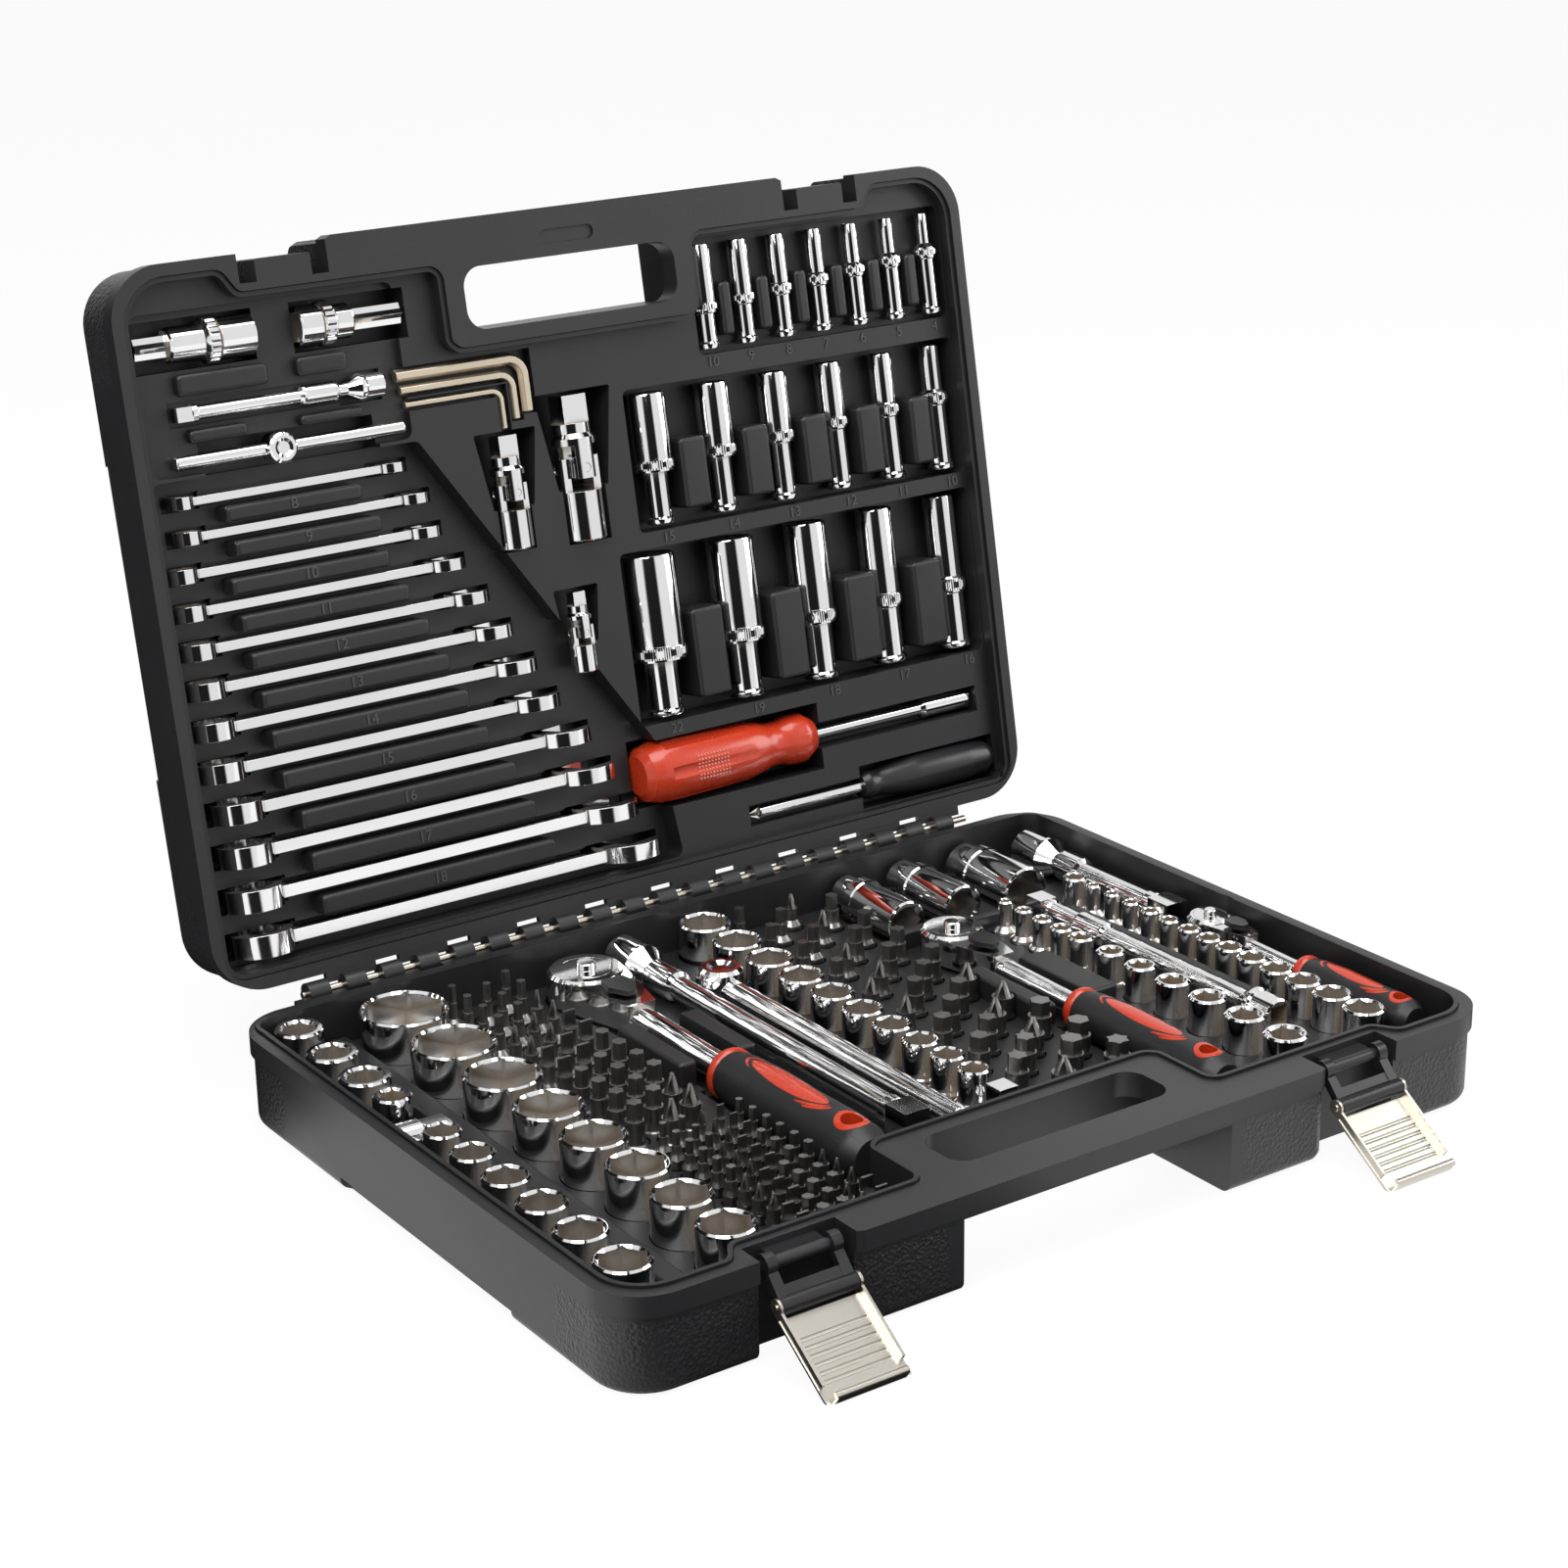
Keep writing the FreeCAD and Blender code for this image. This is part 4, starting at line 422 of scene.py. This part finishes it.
def socketProfile(length, footR, topR, ringR, ringLow, ringHigh):
    c, eased = turned["chamfer"], turned["ease"] * turned["chamfer"]
    waist = footR - turned["waist"]
    collar, ledge = ringR - turned["collar"], ringHigh + turned["ledge"]
    bore, boreEnd = turned["bore"] * topR, length * (1 - turned["boreDepth"])
    return [(0, 0), (footR - c, 0), (footR - eased, eased), (footR, c), (footR, turned["foot"]),
            (waist, turned["foot"] + turned["waist"]), (waist, ringLow - turned["neck"]),
            (collar, ringLow - turned["shoulder"]), (collar, ledge), (topR, ledge + abs(collar - topR)),
            (topR, length - c), (topR - eased, length - eased), (topR - c, length),
            (bore, length - turned["lip"]), (bore, boreEnd), (0, boreEnd)]


bodies = bmesh.new()
bands = bmesh.new()
for points in islands("deep_sockets", lidLocal):
    x, h = mid(points, 0), mid(points, 2)
    footY, topY = span(points, 1)
    length = topY - footY
    reach = [(math.hypot(p.x - x, p.z - h), p.y - footY) for p in points]
    widest = max(r for r, along in reach)
    ringEnds = span([(along, 0) for r, along in reach if r > band["share"] * widest], 0)
    footR = max(r for r, along in reach if along < turned["foot"])
    topR = max(r for r, along in reach if along > length - 2 * turned["chamfer"])
    place = lidPlace @ axisPlace(Vector((x, footY, h)), Vector((0, 1, 0)))
    addLathe(bodies, socketProfile(length, footR, topR, widest, *ringEnds), place)
    addKnurl(bands, place @ Matrix.Translation((0, 0, ringEnds[0])),
             {"radius": widest - band["depth"], "length": ringEnds[1] - ringEnds[0], "rows": band["rows"],
              "teeth": round(2 * math.pi * widest / band["pitch"]), "depth": band["depth"],
              "diamond": False})
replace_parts(finishPiece(bodies, "deepSocketsTurned", "lid", materials["chrome"]), "deep_sockets")
finishPiece(bands, "deepSocketBands", "lid", materials["chrome"], sharp["knurl"])

# diamond sleeves on the bars, each measured from one end of its bar
diamond = {"proud": 0.00004, "depth": 0.0003, "pitch": 0.0016, "rowPitch": 0.0009}
sleeves = [
    {"node": "extension_bars", "pick": 0, "axis": 1, "fromHigh": True, "start": 0.029, "length": 0.018,
     "radius": 0.0070, "body": "base"},
    {"node": "extension_bars", "pick": 2, "axis": 1, "fromHigh": True, "start": 0.030, "length": 0.014,
     "radius": 0.0070, "body": "base"},
    {"node": "extension_bars", "pick": 1, "axis": 1, "fromHigh": False, "start": 0.114, "length": 0.018,
     "radius": 0.0056, "body": "base"},
    {"node": "quarter_extension", "pick": 0, "axis": 0, "fromHigh": True, "start": 0.023, "length": 0.016,
     "radius": 0.0042, "body": "lid"},
]
for sleeve in sleeves:
    onLid = sleeve["body"] == "lid"
    bars = islands(sleeve["node"], lidLocal if onLid else asDrawn)
    bars.sort(key=lambda points: span(points, 0)[0])
    points = bars[sleeve["pick"]]
    along = sleeve["axis"]
    axis = Vector((0, 0, 0))
    axis[along] = -1 if sleeve["fromHigh"] else 1
    foot = Vector([mid(points, k) for k in range(3)])
    foot[along] = span(points, along)[1 if sleeve["fromHigh"] else 0]
    foot += axis * sleeve["start"]
    bm = bmesh.new()
    addKnurl(bm, (lidPlace if onLid else asDrawn) @ axisPlace(foot, axis),
             {"radius": sleeve["radius"] + diamond["proud"], "length": sleeve["length"],
              "depth": diamond["depth"], "teeth": round(2 * math.pi * sleeve["radius"] / diamond["pitch"]),
              "rows": round(sleeve["length"] / diamond["rowPitch"]), "diamond": True})
    finishPiece(bm, "%sSleeve%d" % (sleeve["node"], sleeve["pick"]), sleeve["body"],
                materials["chrome"], sharp["knurl"])
print("knurls made")


# raised numerals on the lid tray, those between the wrenches a little lower; they are coloured lighter than
# the tray as a painted highlight
numerals = {"socketRows": [[22, 19, 18, 17, 16], [15, 14, 13, 12, 11, 10], [10, 9, 8, 7, 6, 5, 4]],
            "wrenches": [18, 17, 16, 15, 14, 13, 12, 11, 10, 9, 8],
            "size": 0.0068, "rise": 0.0005, "drop": 0.0062, "along": 0.48, "lower": 0.0005}


def addNumber(bm, number, spot):
    curve = bpy.data.curves.new("words", "FONT")
    curve.body = str(number)
    curve.size = numerals["size"]
    curve.extrude = numerals["rise"]
    curve.align_x = "CENTER"
    curve.align_y = "CENTER"
    holder = bpy.data.objects.new("words", curve)
    mesh = bpy.data.meshes.new_from_object(holder)
    mesh.transform(lidPlace @ Matrix.Translation(spot))
    bm.from_mesh(mesh)
    bpy.data.objects.remove(holder)
    bpy.data.curves.remove(curve)
    bpy.data.meshes.remove(mesh)


bm = bmesh.new()
sockets = sorted(islands("deep_sockets", lidLocal), key=lambda points: span(points, 1)[0])
for row in numerals["socketRows"]:
    rank = sorted(sockets[:len(row)], key=lambda points: span(points, 0)[0])
    sockets = sockets[len(row):]
    for number, points in zip(row, rank):
        addNumber(bm, number, (mid(points, 0), span(points, 1)[0] - numerals["drop"], layout["lidPlate"]))
rank = sorted(islands("combination_wrenches", lidLocal), key=lambda points: span(points, 1)[0])
for number, points, above in zip(numerals["wrenches"], rank[1:], rank):
    left, right = span(points, 0)
    between = (mid(points, 1) + mid(above, 1)) / 2
    addNumber(bm, number, (left + numerals["along"] * (right - left), between,
                           layout["lidPlate"] - numerals["lower"]))
finishPiece(bm, "trayNumerals", "lid", materials["paintedHighlightNumeral"], sharp["paintedHighlightNumeral"])
print("numerals made")


# small pieces that lie on a node's surface, dropped onto it from a height above base or lid
dropFrom = {"base": 0.08, "lid": 0.1}


def surfaceOf(name, turn):
    bm = mergedMesh(name)
    bm.transform(turn)
    tree = BVHTree.FromBMesh(bm)
    bm.free()
    return tree


def drop(tree, x, y, high):
    spot = tree.ray_cast(Vector((x, y, high)), Vector((0, 0, -1)))[0]
    return spot if spot else Vector((x, y, high))


# a thin raised line along a path, narrower toward both ends
strip = {"width": 0.0013, "rise": 0.00018, "steps": 14, "endShare": 0.6}


def addStrip(bm, tree, path):
    ease = strip["endShare"]
    rows = []
    for k, here in enumerate(path):
        ahead = path[min(k + 1, len(path) - 1)]
        before = path[max(k - 1, 0)]
        along = Vector((ahead[0] - before[0], ahead[1] - before[1])).normalized()
        taper = math.sin(math.pi * (k + ease) / (len(path) - 1 + 2 * ease))
        half = strip["width"] / 2 * math.sqrt(taper)
        row = []
        for side in (-1, 1):
            x, y = here[0] - along.y * side * half, here[1] + along.x * side * half
            top = drop(tree, x, y, dropFrom["base"])
            lift = Vector((0, 0, strip["rise"]))
            row.append([bm.verts.new(top + lift), bm.verts.new(top - lift)])
        rows.append(row)
    for near, far in zip(rows, rows[1:]):
        (a, c), (b, d) = near
        (e, g), (f, h) = far
        for corners in ((a, e, f, b), (c, d, h, g), (a, c, g, e), (b, f, h, d)):
            bm.faces.new(corners)
    (a, c), (b, d) = rows[0]
    bm.faces.new((a, b, d, c))
    (a, c), (b, d) = rows[-1]
    bm.faces.new((a, c, d, b))
    bmesh.ops.recalc_face_normals(bm, faces=bm.faces)


# trim arcs on each ratchet's grip and two small screws on its head
arcs = [{"offset": 0.0030, "from": 55, "to": 125}, {"offset": 0.0028, "from": 205, "to": 265},
        {"offset": 0.0050, "from": 215, "to": 262}]
arcSide = 0.6  # how much of an arc's offset goes sideways
screw = {"across": 0.55, "along": 0.62, "size": 0.085, "taper": 0.8, "segments": 20, "rise": 0.0004}
for size in ("half", "three_eighth", "quarter"):
    grip = size + "_ratchet_grip"
    tree = surfaceOf(grip, asDrawn)
    oval = max(islands(size + "_ratchet_trim", asDrawn),
               key=lambda points: span(points, 1)[1] - span(points, 1)[0])
    (x0, x1), (y0, y1) = span(oval, 0), span(oval, 1)
    bm = bmesh.new()
    for arc in arcs:
        wide = (x1 - x0) / 2 + arc["offset"] * arcSide
        deep = (y1 - y0) / 2 + arc["offset"]
        path = []
        for k in range(strip["steps"] + 1):
            angle = math.radians(arc["from"] + (arc["to"] - arc["from"]) * k / strip["steps"])
            path.append((mid(oval, 0) + wide * math.cos(angle), mid(oval, 1) + deep * math.sin(angle)))
        addStrip(bm, tree, path)
    finishPiece(bm, size + "GripArcs", bodyOf[grip], materials["red"])
    body = size + "_ratchet_body"
    tree = surfaceOf(body, asDrawn)
    drive = islands(size + "_ratchet_drive", asDrawn)[0]
    headLeft, headRight = span(islands(body, asDrawn)[0], 0)
    r = (headRight - headLeft) / 2
    bm = bmesh.new()
    for side in (-1, 1):
        spot = drop(tree, mid(drive, 0) + side * screw["across"] * r, mid(drive, 1) - screw["along"] * r,
                    dropFrom["base"])
        bmesh.ops.create_cone(bm, cap_ends=True, segments=screw["segments"], radius1=screw["size"] * r,
                              radius2=screw["size"] * r * screw["taper"], depth=2 * screw["rise"],
                              matrix=Matrix.Translation(spot))
    finishPiece(bm, size + "HeadScrews", bodyOf[body], materials["nickel"])
print("ratchet trim made")

# dotted grip patch on the red handle, the dots coloured pale pink as a painted highlight on the handle's red
patch = {"left": 0.27, "columns": 10, "rows": 7, "pitch": 0.0018, "size": 0.00062}
tree = surfaceOf("red_driver_handle", lidLocal)
handle = islands("red_driver_handle", lidLocal)[0]
handleLeft, handleRight = span(handle, 0)
bm = bmesh.new()
for column in range(patch["columns"]):
    for row in range(patch["rows"]):
        x = handleLeft + patch["left"] * (handleRight - handleLeft) + column * patch["pitch"]
        y = mid(handle, 1) + (row - (patch["rows"] - 1) / 2) * patch["pitch"]
        spot = drop(tree, x, y, dropFrom["lid"])
        bmesh.ops.create_icosphere(bm, subdivisions=1, radius=patch["size"],
                                   matrix=lidPlace @ Matrix.Translation(spot))
finishPiece(bm, "redHandleDots", bodyOf["red_driver_handle"], materials["redDotsPaintedHighlight"])
print("handle patch made")

# camera, fitted to the corners of the case
lens = {"focal": 74.07, "sensor": 36.0, "clip": 0.01, "place": (-0.7443, -1.0124, 0.5974),
        "right": (0.81746, -0.57581, -0.01417), "up": (0.20547, 0.26855, 0.94110),
        "behind": (-0.53809, -0.77222, 0.33784)}
camera = bpy.data.objects.new("camera", bpy.data.cameras.new("camera"))
camera.data.lens = lens["focal"]
camera.data.sensor_width = lens["sensor"]
camera.data.clip_start = lens["clip"]
turn = Matrix((lens["right"], lens["up"], lens["behind"])).transposed().to_4x4()
camera.matrix_world = Matrix.Translation(lens["place"]) @ turn
scene.collection.objects.link(camera)
scene.camera = camera


# bright and dark cards round the set, which only reflections see
cards = {"count": 3, "turn": math.radians(-98), "low": 0.3, "high": 0.58, "dark": 0.015, "bright": 1.1}


def cardGroup():
    group, start, end = newGroup("studioCards", [("Vector", "NodeSocketVector")],
                                 [("Strength", "NodeSocketFloat")])
    split = group.nodes.new("ShaderNodeSeparateXYZ")
    group.links.new(start.outputs["Vector"], split.inputs["Vector"])
    angle = addMath(group, "ARCTAN2", split.outputs["Y"], split.outputs["X"])
    wave = addMath(group, "SINE", addMath(group, "MULTIPLY_ADD", angle, cards["count"], cards["turn"]))
    level = addMath(group, "MULTIPLY_ADD", wave, 0.5, 0.5)
    edge = addStep(group, level, cards["low"], cards["high"])
    power = addMath(group, "MULTIPLY_ADD", edge, cards["bright"] - cards["dark"], cards["dark"])
    group.links.new(power, end.inputs["Strength"])
    return group


cardNodes = cardGroup()


def addCards(tree, kind, coordinates):
    spot = tree.nodes.new("ShaderNodeTexCoord")
    stripes = addGroup(tree, cardNodes)
    tree.links.new(spot.outputs[coordinates], stripes.inputs["Vector"])
    card = tree.nodes.new(kind)
    tree.links.new(stripes.outputs["Strength"], card.inputs["Strength"])
    return card.outputs[0]


# white floor, and a sky that the camera sees as white
studio = {"floor": 6.0, "paper": (0.86, 0.86, 0.86, 1), "paperRough": 0.9, "paperGlow": 0.93,
          "sky": (0.92, 0.95, 1.0, 1), "skyPower": 0.5, "backdrop": (1, 1, 1, 1)}
floorMesh = bpy.data.meshes.new("floor")
bm = bmesh.new()
bmesh.ops.create_grid(bm, x_segments=1, y_segments=1, size=studio["floor"])
bm.to_mesh(floorMesh)
bm.free()
floor = bpy.data.objects.new("floor", floorMesh)
scene.collection.objects.link(floor)
floorLook = bpy.data.materials.new("floor")
floorLook.use_nodes = True
tree = floorLook.node_tree
paper = tree.nodes["Principled BSDF"]
paper.inputs["Base Color"].default_value = studio["paper"]
paper.inputs["Roughness"].default_value = studio["paperRough"]
glow = tree.nodes.new("ShaderNodeEmission")
rays = tree.nodes.new("ShaderNodeLightPath")
glowShare = addMath(tree, "MULTIPLY", rays.outputs["Is Camera Ray"], studio["paperGlow"])
seen = addMixShader(tree, glowShare, paper.outputs["BSDF"], glow.outputs["Emission"])
cardLight = addCards(tree, "ShaderNodeEmission", "Object")
mirrored = addMixShader(tree, rays.outputs["Is Glossy Ray"], seen, cardLight)
tree.links.new(mirrored, tree.nodes["Material Output"].inputs["Surface"])
floorMesh.materials.append(floorLook)

world = bpy.data.worlds.new("studio")
scene.world = world
world.use_nodes = True
tree = world.node_tree
sky = tree.nodes["Background"]
sky.inputs["Color"].default_value = studio["sky"]
sky.inputs["Strength"].default_value = studio["skyPower"]
white = tree.nodes.new("ShaderNodeBackground")
white.inputs["Color"].default_value = studio["backdrop"]
rays = tree.nodes.new("ShaderNodeLightPath")
cardLight = addCards(tree, "ShaderNodeBackground", "Generated")
mirrored = addMixShader(tree, rays.outputs["Is Glossy Ray"], sky.outputs["Background"], cardLight)
seen = addMixShader(tree, rays.outputs["Is Camera Ray"], mirrored, white.outputs["Background"])
tree.links.new(seen, tree.nodes["World Output"].inputs["Surface"])

lamps = [
    {"name": "keyLight", "place": (-1.2, -0.9, 1.8), "aim": (0, 0, 0.1), "size": (1.4, 1.0), "power": 36},
    {"name": "topLight", "place": (0.1, -0.1, 2.0), "aim": (0, 0, 0), "size": (1.6, 1.2), "power": 26},
    {"name": "sideLight", "place": (1.6, -0.6, 0.9), "aim": (0, 0, 0.15), "size": (0.9, 1.2), "power": 14},
]
for lamp in lamps:
    data = bpy.data.lights.new(lamp["name"], "AREA")
    data.shape = "RECTANGLE"
    data.size, data.size_y = lamp["size"]
    data.energy = lamp["power"]
    light = bpy.data.objects.new(lamp["name"], data)
    light.location = lamp["place"]
    aim = Vector(lamp["aim"]) - Vector(lamp["place"])
    light.rotation_euler = aim.to_track_quat("-Z", "Y").to_euler()
    scene.collection.objects.link(light)
print("stage and lights ready")
